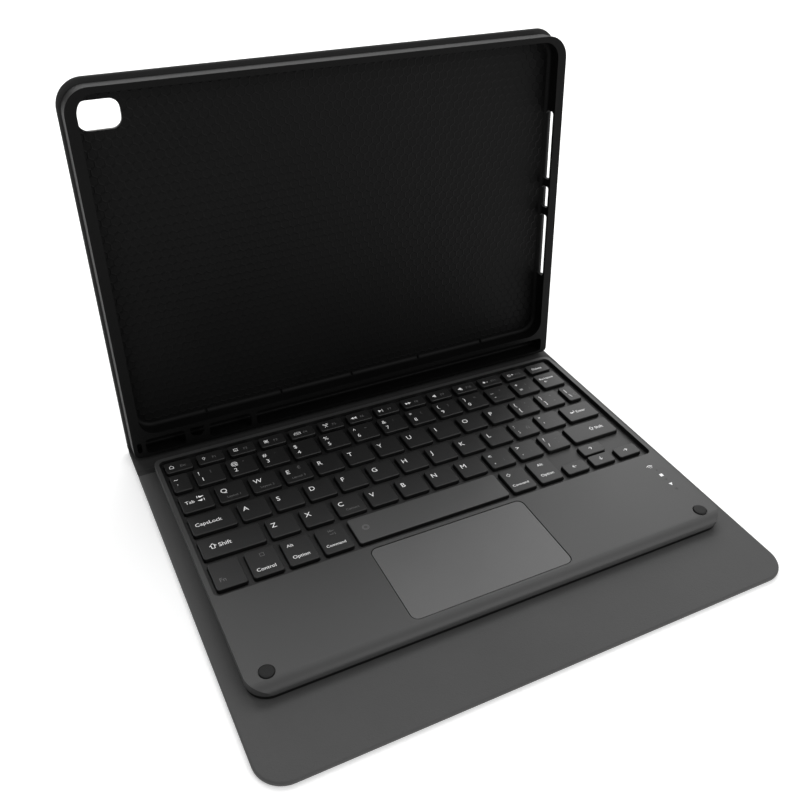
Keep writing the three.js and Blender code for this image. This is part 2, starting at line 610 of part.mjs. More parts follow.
function addKeyboardKeys() {
  const letters = new Set('qwertyuiopasdfghjklzxcvbnm');
  for (const key of allKeys) {
    if (letters.has(key.name)) addKeys(`key_${key.name}`, [key], [lip([key])]);
  }
  addKeys('key_space', [spaceRow[4]], [lip([spaceRow[4]])]);
  addKeys('function_row_keys', topRow, [lip(topRow)]);
  addKeys('number_row_keys', numberRow, [lip(numberRow)]);
  const column = [upperRow[0], homeRow[0], shiftRow[0]];
  const narrow = column.map((key) => ({ ...key, x1: keysX0 + TAB_WIDTH }));
  addKeys('tab_caps_shift_keys', column, [...column.map((key) => lip([key])), lip(narrow)]);
  const brackets = upperRow.slice(11);
  const enters = homeRow.slice(10);
  const bridge = [brackets[1], enters[2]].map((key) => ({ ...key, x0: enters[2].x0, x1: keysX1 }));
  addKeys('bracket_and_enter_keys', [...brackets, ...enters],
    [lip(brackets), lip(enters), lip(bridge)]);
  addKeys('punctuation_and_shift_keys', shiftRow.slice(8), [lip(shiftRow.slice(8))]);
  addKeys('left_modifier_keys', spaceRow.slice(0, 4), [lip(spaceRow.slice(0, 4))]);
  addKeys('right_modifier_and_arrow_keys', spaceRow.slice(5), [lip(spaceRow.slice(5))]);
}

// ---- deck with the key well ----
const touchpadX = TOUCHPAD_OFFSET;
const touchpadY0 = KEYBOARD_FRONT + TOUCHPAD_FRONT;
const touchpadY1 = touchpadY0 + TOUCHPAD_DEPTH;
const bumperX = halfKeyboard - BUMPER_SIDE;
const bumperY = KEYBOARD_FRONT + BUMPER_FRONT;
const lightX = halfKeyboard - LIGHT_SIDE;
const lightYs = Array.from({ length: LIGHT_COUNT },
  (_, i) => KEYBOARD_FRONT + LIGHT_FRONT + i * LIGHT_PITCH);

function touchpadOutline(margin) {
  return roundedRect(touchpadX - TOUCHPAD_WIDTH / 2 - margin, touchpadY0 - margin,
    touchpadX + TOUCHPAD_WIDTH / 2 + margin, touchpadY1 + margin, TOUCHPAD_RADIUS + margin);
}

function wellOutline(margin) {
  return roundedRect(-wellHalf - margin, WELL_Y0 - margin, wellHalf + margin, WELL_Y1 + margin,
    WELL_RADIUS + margin);
}

function addDeck() {
  const side = new THREE.ExtrudeGeometry(deckProfile(), {
    depth: KEYBOARD_WIDTH + 2, bevelEnabled: false, curveSegments: 8,
  });
  // the profile's first axis becomes Y, its second Z, and its depth X
  side.applyMatrix4(new THREE.Matrix4().set(
    0, 0, 1, -halfKeyboard - 1,
    1, 0, 0, 0,
    0, 1, 0, 0,
    0, 0, 0, 1,
  ));
  const outer = toSolid(side).intersect(slab(keyboardOutline(0), PARTING_Z - 1, DECK_TOP + 1, 6));
  const hollowFront = KEYBOARD_FRONT + SHELL_WALL + NOSE_LENGTH / 3;
  const hollow = slab(roundedRect(-halfKeyboard + SHELL_WALL, hollowFront,
    halfKeyboard - SHELL_WALL, KEYBOARD_REAR - SHELL_WALL,
    [KEYBOARD_RADIUS, KEYBOARD_RADIUS, 1, 1]), PARTING_Z - CUT, DECK_TOP - DECK_THICK, 6);
  let deck = outer.subtract(hollow);
  const wellRim = Math.min(WELL_WALL, WELL_REAR - FIT_GAP, (KEYBOARD_WIDTH - WELL_WIDTH) / 2 - FIT_GAP);
  const wellBox = slab(wellOutline(wellRim), WELL_Z - WELL_FLOOR, DECK_TOP - DECK_THICK / 2);
  deck = deck.add(wellBox).subtract(slab(wellOutline(0), WELL_Z, DECK_TOP + CUT));
  deck = deck.subtract(slab(touchpadOutline(SLIDE_GAP), PARTING_Z - CUT, DECK_TOP + CUT));
  for (const x of [-bumperX, bumperX]) {
    deck = deck.subtract(disc(BUMPER_DIAMETER + 2 * FIT_GAP, x, bumperY,
      DECK_TOP - BUMPER_DEPTH, DECK_TOP + CUT));
  }
  for (const y of lightYs) {
    deck = deck.subtract(disc(LIGHT_DIAMETER + 2 * FIT_GAP / 3, lightX, y, PARTING_Z, DECK_TOP + CUT, 10));
  }
  for (const cut of sideCuts) deck = deck.subtract(cut);
  const holes = allKeys.map(
    (key) => slab(keyOutline(key, SLIDE_GAP), WELL_Z - WELL_FLOOR - CUT / 10, WELL_Z + 0.5, 2));
  addPiece('keyboard_deck', deck.subtract(joined(holes)), DARK_PLASTIC);
}

// ---- what the keyboard shells hold ----
function addKeyboardParts() {
  const padTop = DECK_TOP - 0.1;
  addPiece('touchpad', slab(touchpadOutline(0), padTop - TOUCHPAD_THICK, padTop), DARK_PLASTIC);
  const padBack = padTop - TOUCHPAD_THICK - TOUCHPAD_CLICK - 0.1;
  const padInset = 2;
  addPiece('touchpad_board', slab(touchpadOutline(-padInset), padBack - CIRCUIT_THICK, padBack),
    GREEN_BOARD);
  for (const [side, x] of [['left', -bumperX], ['right', bumperX]]) {
    addPiece(`bumper_${side}`, disc(BUMPER_DIAMETER, x, bumperY, DECK_TOP - BUMPER_DEPTH,
      DECK_TOP + BUMPER_RISE, 32), RUBBER);
  }
  const guideTop = DECK_TOP - DECK_THICK;
  const guide = [block(lightX - 2, lightX + 2, lightYs[0] - 2, lightYs[LIGHT_COUNT - 1] + 2,
    guideTop - 1.5, guideTop)];
  for (const y of lightYs) guide.push(disc(LIGHT_DIAMETER, lightX, y, guideTop - 0.5, DECK_TOP, 10));
  addPiece('status_light_guide', joined(guide), CLEAR_FILM);

  const padLeft = touchpadX - TOUCHPAD_WIDTH / 2;
  const padRight = touchpadX + TOUCHPAD_WIDTH / 2;
  addPiece('battery', slab(roundedRect(-halfKeyboard + BATTERY_SIDE, touchpadY0 + BATTERY_INSET,
    padLeft - BATTERY_GAP, touchpadY1 - BATTERY_INSET, 1.5),
  INNER_Z, INNER_Z + BATTERY_THICK), SILVER_CELL);
  addPiece('circuit_board', block(padRight + CIRCUIT_GAP, halfKeyboard - CIRCUIT_SIDE,
    touchpadY0 + CIRCUIT_INSET, touchpadY1 - CIRCUIT_INSET, INNER_Z + FIT_GAP,
    INNER_Z + FIT_GAP + CIRCUIT_THICK), GREEN_BOARD);
  const membraneInset = 3;
  addPiece('key_membrane', slab(wellOutline(-membraneInset), MEMBRANE_Z,
    MEMBRANE_Z + MEMBRANE_THICK), CLEAR_FILM);

  const socketX1 = halfKeyboard - PAN_INSET;
  const socket = block(socketX1 - SOCKET_LENGTH, socketX1, socketY - SOCKET_WIDTH / 2,
    socketY + SOCKET_WIDTH / 2, socketZ, socketZ + SOCKET_HEIGHT);
  const socketMouth = block(socketX1 - SOCKET_LENGTH + 1, socketX1 + CUT,
    socketY - SOCKET_WIDTH / 2 + 0.4, socketY + SOCKET_WIDTH / 2 - 0.4,
    socketZ + 0.4, socketZ + SOCKET_HEIGHT - 0.4);
  addPiece('charging_socket', socket.subtract(socketMouth), STEEL);
  addPiece('power_switch', block(wallX - 2, halfKeyboard + 0.3, switchY, switchY + SWITCH_LENGTH,
    switchZ, switchZ + 2), RUBBER);

  addPiece('magnet_strip', block(-MAGNET_LENGTH / 2, MAGNET_LENGTH / 2, keeperY - MAGNET_WIDTH / 2,
    keeperY + MAGNET_WIDTH / 2, INNER_Z, INNER_Z + MAGNET_THICK), STEEL);
}

addBottomPan();
addDeck();
addKeyboardKeys();
addKeyboardParts();

export default caseGroup;
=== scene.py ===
"""A tablet keyboard case: leather cover, rubber tray and flat keyboard, dressed for rendering."""

import json
import math

import bpy
from mathutils import Matrix, Vector

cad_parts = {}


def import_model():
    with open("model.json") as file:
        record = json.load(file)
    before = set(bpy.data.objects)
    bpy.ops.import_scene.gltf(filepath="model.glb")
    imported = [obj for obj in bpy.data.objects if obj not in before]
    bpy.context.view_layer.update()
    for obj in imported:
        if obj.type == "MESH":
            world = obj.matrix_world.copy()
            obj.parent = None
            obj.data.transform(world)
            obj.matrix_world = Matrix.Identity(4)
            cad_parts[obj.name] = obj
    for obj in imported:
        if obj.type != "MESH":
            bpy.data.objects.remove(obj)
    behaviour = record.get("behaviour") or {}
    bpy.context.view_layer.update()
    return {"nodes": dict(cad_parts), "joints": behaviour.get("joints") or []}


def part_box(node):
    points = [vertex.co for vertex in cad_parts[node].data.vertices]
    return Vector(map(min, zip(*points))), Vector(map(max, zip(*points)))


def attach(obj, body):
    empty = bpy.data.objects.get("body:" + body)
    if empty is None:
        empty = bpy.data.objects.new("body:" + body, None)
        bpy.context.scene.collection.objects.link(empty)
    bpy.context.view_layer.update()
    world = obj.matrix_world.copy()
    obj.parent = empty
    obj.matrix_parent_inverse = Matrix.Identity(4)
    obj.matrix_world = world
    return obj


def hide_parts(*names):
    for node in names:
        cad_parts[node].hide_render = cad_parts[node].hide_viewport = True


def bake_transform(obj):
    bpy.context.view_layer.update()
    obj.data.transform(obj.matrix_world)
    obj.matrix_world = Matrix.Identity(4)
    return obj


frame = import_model()

MM = 0.001
SMALL = 0.02 * MM
PAST = 5 * MM    # how far a cutter stands out of the piece it cuts

# ---- places taken from the frame ----
folds = {joint["name"]: Vector(joint["pos_m"]) for joint in frame["joints"] if "pos_m" in joint}
FRONT_FOLD = folds["front_fold"]
REAR_FOLD = folds["rear_fold"]
BASE_LOW, BASE_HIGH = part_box("base_skin")
DECK_LOW, DECK_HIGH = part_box("keyboard_deck")
PAN_LOW, PAN_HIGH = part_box("bottom_shell")
SPINE_LOW, SPINE_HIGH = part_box("spine_skin")
TOUCHPAD_LOW, TOUCHPAD_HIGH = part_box("touchpad")
KEY_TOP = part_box("key_q")[1].z

# ---- leaning cover and tray are drawn flat: X across, Y up the tray, Z out of its mouth ----
LEAN = math.radians(5.8)
REAR_FOLD_N = 13.45 * MM
REAR_FOLD_T = -1.9 * MM
UPRIGHT = (Matrix.Translation(REAR_FOLD) @ Matrix.Rotation(math.pi / 2 - LEAN, 4, "X")
           @ Matrix.Translation((0, -REAR_FOLD_T, REAR_FOLD_N)))

COVER_N = 14.7 * MM
LINING_N = 12.3 * MM
TRAY_DEPTH = 11.5 * MM
TRAY_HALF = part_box("tray_shell")[1].x
COVER_HALF = BASE_HIGH.x
TRAY_HEIGHT = 188.3 * MM
BACK_LOW_T = -0.35 * MM
BACK_HIGH_T = TRAY_HEIGHT + 2.4 * MM
CREASE_T = REAR_FOLD_T + 60 * MM
POCKET_HALF = TRAY_HALF - 4 * MM
POCKET_LOW = 12.2 * MM
POCKET_HIGH = TRAY_HEIGHT - 1.7 * MM
TRAY_FLOOR = 1.6 * MM
LIP_THICK = 1.6 * MM
LIP_REACH = 1.2 * MM
CAMERA_LEFT = -POCKET_HALF + 2 * MM
CAMERA_TOP = POCKET_HIGH - 5.6 * MM
CAMERA_SIZE = (19.4 * MM, 13.4 * MM)
CAMERA_RADIUS = 4.8 * MM
HEXAGON = 4.6 * MM

# ---- camera ----
CAMERA_PLACE = Vector((-171.9, -277.2, 310.8)) * MM
CAMERA_AZIMUTH = math.radians(-27.27)
CAMERA_ELEVATION = math.radians(35.96)
CAMERA_ROLL = math.radians(1.72)
CAMERA_LENS = 40.24


def place_camera():
    """The camera stands in front and to the left, looking down at the keyboard."""
    a, e = CAMERA_AZIMUTH, CAMERA_ELEVATION
    back = Vector((math.sin(a) * math.cos(e), -math.cos(a) * math.cos(e), math.sin(e)))
    right = Vector((0, 0, 1)).cross(back).normalized()
    up = back.cross(right)
    level = right * math.cos(CAMERA_ROLL) + up * math.sin(CAMERA_ROLL)
    top = up * math.cos(CAMERA_ROLL) - right * math.sin(CAMERA_ROLL)
    lens = bpy.data.cameras.new("view")
    lens.sensor_width = 36
    lens.lens = CAMERA_LENS
    lens.clip_start = 0.01
    camera = bpy.data.objects.new("view", lens)
    turn = Matrix((level, top, back)).transposed().to_4x4()
    camera.matrix_world = Matrix.Translation(CAMERA_PLACE) @ turn
    bpy.context.scene.collection.objects.link(camera)
    bpy.context.scene.camera = camera


place_camera()


# ---- material writing ----
class Wire:
    """A shader socket that can be used in Python sums."""

    def __init__(self, finish, socket):
        self.finish = finish
        self.socket = socket

    def _sum(self, operation, left, right=None):
        values = {0: left} if right is None else {0: left, 1: right}
        return self.finish.node("ShaderNodeMath", {"operation": operation}, values)

    def __add__(self, other):
        return self._sum("ADD", self, other)

    __radd__ = __add__

    def __sub__(self, other):
        return self._sum("SUBTRACT", self, other)

    def __mul__(self, other):
        return self._sum("MULTIPLY", self, other)

    __rmul__ = __mul__

    def __truediv__(self, other):
        return self._sum("DIVIDE", self, other)

    def __mod__(self, other):
        return self._sum("FLOORED_MODULO", self, other)

    def __abs__(self):
        return self._sum("ABSOLUTE", self)

    def least(self, other):
        return self._sum("MINIMUM", self, other)

    def most(self, other):
        return self._sum("MAXIMUM", self, other)

    def below(self, other):
        return self._sum("LESS_THAN", self, other)


class Finish:
    """One material. node() adds any node; paint() links or sets the shader's sockets."""

    def __init__(self, name):
        self.material = bpy.data.materials.new(name)
        self.material.use_nodes = True
        self.tree = self.material.node_tree
        self.shader = self.tree.nodes["Principled BSDF"]

    def node(self, kind, settings=None, sockets=None, output=0):
        made = self.tree.nodes.new(kind)
        for key, value in (settings or {}).items():
            if key == "stops":
                self._set_stops(made.color_ramp, value)
            else:
                setattr(made, key, value)
        for key, value in (sockets or {}).items():
            self._feed(made.inputs[key], value)
        return Wire(self, made.outputs[output])

    def _feed(self, socket, value):
        if isinstance(value, Wire):
            self.tree.links.new(value.socket, socket)
        else:
            socket.default_value = value

    @staticmethod
    def _set_stops(ramp, stops):
        while len(ramp.elements) < len(stops):
            ramp.elements.new(1)
        for element, (place, level) in zip(ramp.elements, stops):
            element.position = place
            element.color = (level, level, level, 1)

    def paint(self, **values):
        for key, value in values.items():
            self._feed(self.shader.inputs[key.replace("_", " ")], value)

    def place(self, turn=(0, 0, 0), shift=(0, 0, 0)):
        """The point on the piece, in metres."""
        here = self.node("ShaderNodeTexCoord", output="Object")
        return self.node("ShaderNodeMapping", {}, {"Vector": here, "Rotation": turn, "Location": shift})

    def noise(self, place, scale, detail=3, rough=0.5):
        return self.node("ShaderNodeTexNoise", {}, {
            "Vector": place, "Scale": scale, "Detail": detail, "Roughness": rough})

    def cells(self, place, scale, feature="F1"):
        return self.node("ShaderNodeTexVoronoi", {"feature": feature}, {"Vector": place, "Scale": scale})

    def ramp(self, value, stops):
        return self.node("ShaderNodeValToRGB", {"stops": stops}, {0: value})

    def mix(self, share, first, second):
        return self.node("ShaderNodeMix", {"data_type": "RGBA"}, {0: share, 6: first, 7: second}, output=2)

    def bump(self, height, depth, normal=None):
        sockets = {"Strength": 1.0, "Distance": depth, "Height": height}
        if normal is not None:
            sockets["Normal"] = normal
        return self.node("ShaderNodeBump", {}, sockets)


def grey(level):
    """A neutral colour."""
    return (level, level, level, 1)


def leather_finish(name, level, specular):
    """Matte grained synthetic leather."""
    finish = Finish(name)
    place = finish.place()
    pebbles = finish.cells(place, 1500)
    creases = finish.noise(place, 420, 5, 0.6)
    cloud = finish.noise(place, 14, 3)
    rub = finish.noise(place, 160, 6, 0.7)
    share = finish.ramp(cloud * 0.6 + rub * 0.4, [(0.3, 0), (0.72, 1)])
    finish.paint(Base_Color=finish.mix(share, grey(level * 0.88), grey(level * 1.1)))
    finish.paint(Roughness=0.56 + rub * 0.16)
    fine = finish.bump(pebbles, 0.05 * MM)
    finish.paint(Normal=finish.bump(creases, 0.06 * MM, fine))
    finish.shader.inputs["Specular IOR Level"].default_value = specular
    return finish.material


NOSE_END = 6.6 * MM
DECK_BORDER = 1.9 * MM


def painted_recess_shade(finish, place, depth):
    """Where painted shade goes: 1 deeper than depth in the key well and the touchpad's gap, 0 on the
    keyboard's outer faces.
    """
    parts = finish.node("ShaderNodeSeparateXYZ", {}, {0: place}).socket.node.outputs
    across, along, up = (Wire(finish, socket) for socket in parts)
    behind_nose = (along * -1).below(-DECK_LOW.y - NOSE_END)
    return abs(across).below(DECK_HIGH.x - DECK_BORDER) * behind_nose * up.below(DECK_HIGH.z - depth)


def moulded_finish(name, level, rough, grain=2600, depth=0.02, specular=0.4, shade_depth=0):
    """Fine spark-eroded plastic or rubber, with painted shade, near black, from shade_depth down in the
    keyboard's recesses.
    """
    finish = Finish(name)
    place = finish.place()
    speckle = finish.noise(place, grain, 2, 0.6)
    cloud = finish.noise(place, 22, 4)
    share = finish.ramp(cloud * 0.7 + speckle * 0.3, [(0.32, 0), (0.7, 1)])
    colour = finish.mix(share, grey(level * 0.88), grey(level * 1.12))
    # painted shade: from shade_depth down in the recesses the colour is mixed to near black
    if shade_depth:
        colour = finish.mix(painted_recess_shade(finish, place, shade_depth), colour, grey(0.002))
    finish.paint(Base_Color=colour, Roughness=rough - 0.06 + cloud * 0.12)
    finish.paint(Normal=finish.bump(speckle, depth * MM))
    finish.shader.inputs["Specular IOR Level"].default_value = specular
    return finish.material


def tray_finish():
    """Soft black rubber, with small hexagon cells pressed into the pocket's floor."""
    finish = Finish("tray rubber")
    place = finish.place()
    speckle = finish.noise(place, 1500, 3, 0.6)
    cloud = finish.noise(place, 18, 4)
    share = finish.ramp(cloud * 0.7 + speckle * 0.3, [(0.32, 0), (0.7, 1)])
    flat = finish.place(shift=-REAR_FOLD)
    flat = finish.node("ShaderNodeMapping", {}, {"Vector": flat, "Rotation": (LEAN - math.pi / 2, 0, 0)})
    parts = finish.node("ShaderNodeSeparateXYZ", {}, {0: flat}).socket.node.outputs
    across, up, out = (Wire(finish, socket) for socket in parts)
    edge = hexagon_edge(across / HEXAGON, up / HEXAGON)
    line = finish.ramp(edge, [(0.4, 0), (0.5, 1)])
    on_floor = abs(out + (TRAY_DEPTH - TRAY_FLOOR - REAR_FOLD_N)).below(0.08 * MM)
    line = finish.node("ShaderNodeSeparateColor", {}, {0: line}) * on_floor
    finish.paint(Base_Color=finish.mix(share, grey(0.003), grey(0.0046)))
    finish.paint(Roughness=0.46 + cloud * 0.1 - line * 0.14)
    fine = finish.bump(speckle, 0.02 * MM)
    finish.paint(Normal=finish.bump(line, 0.14 * MM, fine))
    finish.shader.inputs["Specular IOR Level"].default_value = 0.1
    return finish.material


def hexagon_edge(x, y):
    """How near a point is to the edge of its hexagon cell: 0 in the middle, 0.5 on the edge."""
    tall = math.sqrt(3)
    first = (x % 1 - 0.5, y % tall - tall / 2)
    second = ((x - 0.5) % 1 - 0.5, (y - tall / 2) % tall - tall / 2)
    reach = [abs(a).most(abs(a) * 0.5 + abs(b) * (tall / 2)) for a, b in (first, second)]
    return reach[0].least(reach[1])


def printed_finish(name, level, painted_glow):
    """White ink, slightly uneven, with a faint painted glow that makes it brighter than its lighting."""
    finish = Finish(name)
    speckle = finish.noise(finish.place(), 3200, 3)
    share = finish.ramp(speckle, [(0.25, 0), (0.6, 1)])
    finish.paint(Base_Color=finish.mix(share, grey(level * 0.8), grey(level)))
    finish.paint(Roughness=0.55 + speckle * 0.15)
    # painted light: the ink glows a little so that it reads brighter
    finish.shader.inputs["Emission Color"].default_value = (1, 1, 1, 1)
    finish.shader.inputs["Emission Strength"].default_value = painted_glow
    return finish.material


def board_finish():
    """Pressed grey board with short fibres."""
    finish = Finish("pressed board")
    place = finish.place()
    fibre = finish.noise(place, 900, 6, 0.75)
    fleck = finish.cells(place, 700)
    share = finish.ramp(fibre * 0.7 + fleck * 0.3, [(0.3, 0), (0.8, 1)])
    finish.paint(Base_Color=finish.mix(share, (0.2, 0.185, 0.16, 1), (0.42, 0.4, 0.36, 1)))
    finish.paint(Roughness=0.82 + fibre * 0.12, Normal=finish.bump(fibre, 0.05 * MM))
    return finish.material


def metal_finish(name, level, rough):
    """Rolled sheet metal with fine lengthwise lines."""
    finish = Finish(name)
    place = finish.node("ShaderNodeMapping", {}, {
        "Vector": finish.node("ShaderNodeTexCoord", output="Object"), "Scale": (0.05, 1, 1)})
    lines = finish.noise(place, 6000, 4, 0.6)
    smudge = finish.noise(finish.place(), 60, 3)
    finish.paint(Base_Color=finish.mix(smudge, grey(level * 0.9), grey(level)))
    finish.paint(Roughness=rough + lines * 0.18, Normal=finish.bump(lines, 0.01 * MM))
    finish.shader.inputs["Metallic"].default_value = 1
    return finish.material


def circuit_finish():
    """Green solder mask over copper tracks."""
    finish = Finish("circuit board")
    place = finish.place()
    tracks = finish.ramp(finish.cells(place, 520, "DISTANCE_TO_EDGE"), [(0.02, 1), (0.05, 0)])
    film = finish.noise(place, 900, 3)
    finish.paint(Base_Color=finish.mix(tracks, (0.012, 0.09, 0.03, 1), (0.04, 0.2, 0.07, 1)))
    finish.paint(Roughness=0.32 + film * 0.15, Normal=finish.bump(tracks, 0.03 * MM))
    return finish.material


def film_finish():
    """Frosted clear film."""
    finish = Finish("frosted film")
    cloud = finish.noise(finish.place(), 300, 4)
    finish.paint(Base_Color=finish.mix(cloud, grey(0.5), grey(0.72)))
    finish.paint(Roughness=0.35 + cloud * 0.2, Normal=finish.bump(cloud, 0.02 * MM))
    return finish.material


LEATHER = leather_finish("cover leather", 0.027, 0.25)
LINING = leather_finish("lining leather", 0.07, 0.35)
TRAY = tray_finish()
# depths below the top from which the deck's recesses and the keys' sides get painted shade
SHADE_IN_DECK = 0.35 * MM
SHADE_BESIDE_KEYS = 1 * MM
DECK = moulded_finish("deck plastic", 0.038, 0.5, grain=2400, depth=0.012, specular=0.6,
                      shade_depth=SHADE_IN_DECK)
KEYS = moulded_finish("key plastic", 0.014, 0.46, grain=3000, depth=0.012, specular=0.5,
                      shade_depth=SHADE_BESIDE_KEYS)
# the space bar: the same key plastic, painted lighter as a stand-in for the light that falls on it
SPACE_KEY_PAINTED_LIGHT = moulded_finish("space key plastic painted lighter", 0.06, 0.5, grain=3000, depth=0.012, specular=0.6,
                          shade_depth=SHADE_BESIDE_KEYS)
PAN = moulded_finish("bottom plastic", 0.005, 0.6, specular=0.15)
PAD = moulded_finish("touchpad film", 0.092, 0.48, grain=4200, depth=0.006, specular=0.62,
                     shade_depth=SHADE_IN_DECK)
PRISM = moulded_finish("light window", 0.01, 0.3, specular=0.5)
RUBBER = moulded_finish("bumper rubber", 0.008, 0.6, specular=0.3)
# the last number of each ink is its painted glow
INK = printed_finish("white ink", 0.9, 0.22)
FAINT_INK = printed_finish("faint ink", 0.16, 0.008)
BOARD = board_finish()
STEEL = metal_finish("rolled steel", 0.55, 0.28)
FOIL = metal_finish("cell foil", 0.7, 0.35)
CIRCUIT = circuit_finish()
FILM = film_finish()


# ---- modelling by hand ----
def alone(piece):
    """The piece is the only thing selected."""
    bpy.ops.object.select_all(action="DESELECT")
    piece.select_set(True)
    bpy.context.view_layer.objects.active = piece
    return piece


def settled(piece):
    """The piece's place goes into its mesh."""
    alone(piece)
    bpy.ops.object.transform_apply(location=True, rotation=True, scale=True)
    return piece


def edit(piece, kind, test, *steps):
    """Selects the edges or faces that pass the test, then runs the steps on them."""
    mesh = piece.data
    mesh.vertices.foreach_set("select", [False] * len(mesh.vertices))
    mesh.edges.foreach_set("select", [False] * len(mesh.edges))
    mesh.polygons.foreach_set("select", [False] * len(mesh.polygons))
    if kind == "EDGE":
        for item in mesh.edges:
            ends = [mesh.vertices[i].co for i in item.vertices]
            item.select = test(*ends)
            if item.select:
                for i in item.vertices:
                    mesh.vertices[i].select = True
    else:
        for item in mesh.polygons:
            item.select = test(item)
    alone(piece)
    bpy.context.tool_settings.mesh_select_mode = (False, kind == "EDGE", kind == "FACE")
    bpy.ops.object.mode_set(mode="EDIT")
    for operator, settings in steps:
        operator(**settings)
    bpy.ops.object.mode_set(mode="OBJECT")


def box(name, low, high):
    """A block between two corners, to be shaped."""
    low, high = Vector(low), Vector(high)
    bpy.ops.object.select_all(action="DESELECT")
    bpy.ops.mesh.primitive_cube_add(size=1, location=(low + high) / 2)
    piece = bpy.context.object
    piece.name = name
    piece.data.name = name
    piece.scale = high - low
    return settled(piece)


def round_edges(piece, test, width, steps):
    """Rounds the edges that pass the test."""
    edit(piece, "EDGE", test, (bpy.ops.mesh.bevel, {
        "offset": width, "segments": steps, "affect": "EDGES", "profile": 0.5, "clamp_overlap": False}))


def plate(name, low, high, corners, edge_top=0.0, edge_bottom=0.0, steps=8, edge_steps=3):
    """A flat plate with rounded corners, front then rear, and rounded top and bottom edges."""
    piece = box(name, low, high)
    for y, radius in ((low[1], corners[0]), (high[1], corners[1])):
        if radius > 0:
            round_edges(piece, lambda a, b: abs(a.y - y) < SMALL and abs(b.y - y) < SMALL
                        and abs(a.x - b.x) < SMALL, radius, steps)
    for z, width in ((high[2], edge_top), (low[2], edge_bottom)):
        if width > 0:
            round_edges(piece, lambda a, b: abs(a.z - z) < SMALL and abs(b.z - z) < SMALL, width, edge_steps)
    return piece


def disc(name, centre, radius, low, high, count=48):
    """An upright cylinder."""
    bpy.ops.object.select_all(action="DESELECT")
    bpy.ops.mesh.primitive_cylinder_add(vertices=count, radius=radius, depth=high - low,
                                        location=(centre[0], centre[1], (low + high) / 2))
    piece = bpy.context.object
    piece.name = name
    return settled(piece)


def joined(name, pieces):
    """Several pieces as one mesh."""
    bpy.ops.object.select_all(action="DESELECT")
    for piece in pieces:
        piece.select_set(True)
    bpy.context.view_layer.objects.active = pieces[0]
    if len(pieces) > 1:
        bpy.ops.object.join()
    whole = bpy.context.object
    whole.name = name
    whole.data.name = name
    return whole


def welded(piece, reach):
    """Joins points that touch, to close the piece's seams.

    Five key prints still keep open edges, and in seven some neighbouring faces disagree in direction.
    """
    alone(piece)
    bpy.ops.object.mode_set(mode="EDIT")
    bpy.ops.mesh.select_all(action="SELECT")
    bpy.ops.mesh.remove_doubles(threshold=reach)
    bpy.ops.object.mode_set(mode="OBJECT")
    return piece


def modify(piece, kind, **settings):
    """Adds one modifier and applies it."""
    alone(piece)
    modifier = piece.modifiers.new(kind.lower(), kind)
    for key, value in settings.items():
        setattr(modifier, key, value)
    bpy.ops.object.modifier_apply(modifier=modifier.name)
    return piece


def cut(piece, *cutters):
    """Takes each cutter out of the piece and throws it away."""
    for cutter in cutters:
        modify(piece, "BOOLEAN", operation="DIFFERENCE", solver="EXACT", object=cutter)
        bpy.data.objects.remove(cutter)
    return piece


def soften(piece, width, steps=2, angle=35):
    """Rounds every edge sharper than the angle a little."""
    return modify(piece, "BEVEL", width=width, segments=steps, limit_method="ANGLE",
                  angle_limit=math.radians(angle), harden_normals=False)


def finished(piece, material, body, *nodes, slot=None, angle=35):
    """Shades the piece, gives it its material and joins it to its body."""
    alone(piece)
    bpy.ops.object.shade_smooth_by_angle(angle=math.radians(angle))
    modify(piece, "WEIGHTED_NORMAL", keep_sharp=True)
    piece.data.materials.clear()
    piece.data.materials.append(material)
    if body:
        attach(piece, body)
    if nodes:
        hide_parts(*nodes)
    return piece


def facing_down(face):
    """True for a panel's large outer face, and not for its rounded edges."""
    return face.normal.z < -0.99 and face.area > 2000 * MM * MM


# ---- folding cover ----
HEM = 2.8 * MM
HEM_GROOVE = 0.28 * MM
COVER_RADIUS = 13 * MM
BASE_EDGE = 1 * MM
COVER_EDGE = 0.9 * MM
CREASE_HALF = 0.7 * MM
CREASE_DEPTH = 0.45 * MM


def hem_line(piece):
    """The line pressed into a panel's outer face just inside its edge."""
    inset = bpy.ops.mesh.inset
    edit(piece, "FACE", facing_down, (inset, {"thickness": HEM, "depth": 0}),
         (inset, {"thickness": HEM_GROOVE * 1.4, "depth": -HEM_GROOVE}),
         (inset, {"thickness": HEM_GROOVE * 1.8, "depth": HEM_GROOVE}))


def base_cover():
    """The panel that lies on the table under the keyboard."""
    piece = plate("base_cover", BASE_LOW, BASE_HIGH, (COVER_RADIUS, 0), BASE_EDGE, BASE_EDGE, 14, 4)
    hem_line(piece)
    finished(piece, LINING, "base", "base_skin", "base_lining", slot="cover_leather")


def spine_cover():
    """The narrow panel between the two folds."""
    piece = plate("spine_cover", SPINE_LOW, SPINE_HIGH, (0, 0), COVER_EDGE, COVER_EDGE, 3, 4)
    finished(piece, LEATHER, "spine", "spine_skin", "spine_lining", slot="cover_leather")


base_cover()
spine_cover()


def raised(piece):
    """Stands a flat-drawn piece up in its leaning place."""
    piece.matrix_world = UPRIGHT
    return settled(piece)


def camera_cutter(margin):
    """The rounded hole for the tablet's camera."""
    x1 = CAMERA_LEFT + CAMERA_SIZE[0]
    y0 = CAMERA_TOP - CAMERA_SIZE[1]
    return plate("camera_cutter", (CAMERA_LEFT - margin, y0 - margin, -20 * MM),
                 (x1 + margin, CAMERA_TOP + margin, PAST), (CAMERA_RADIUS, CAMERA_RADIUS))


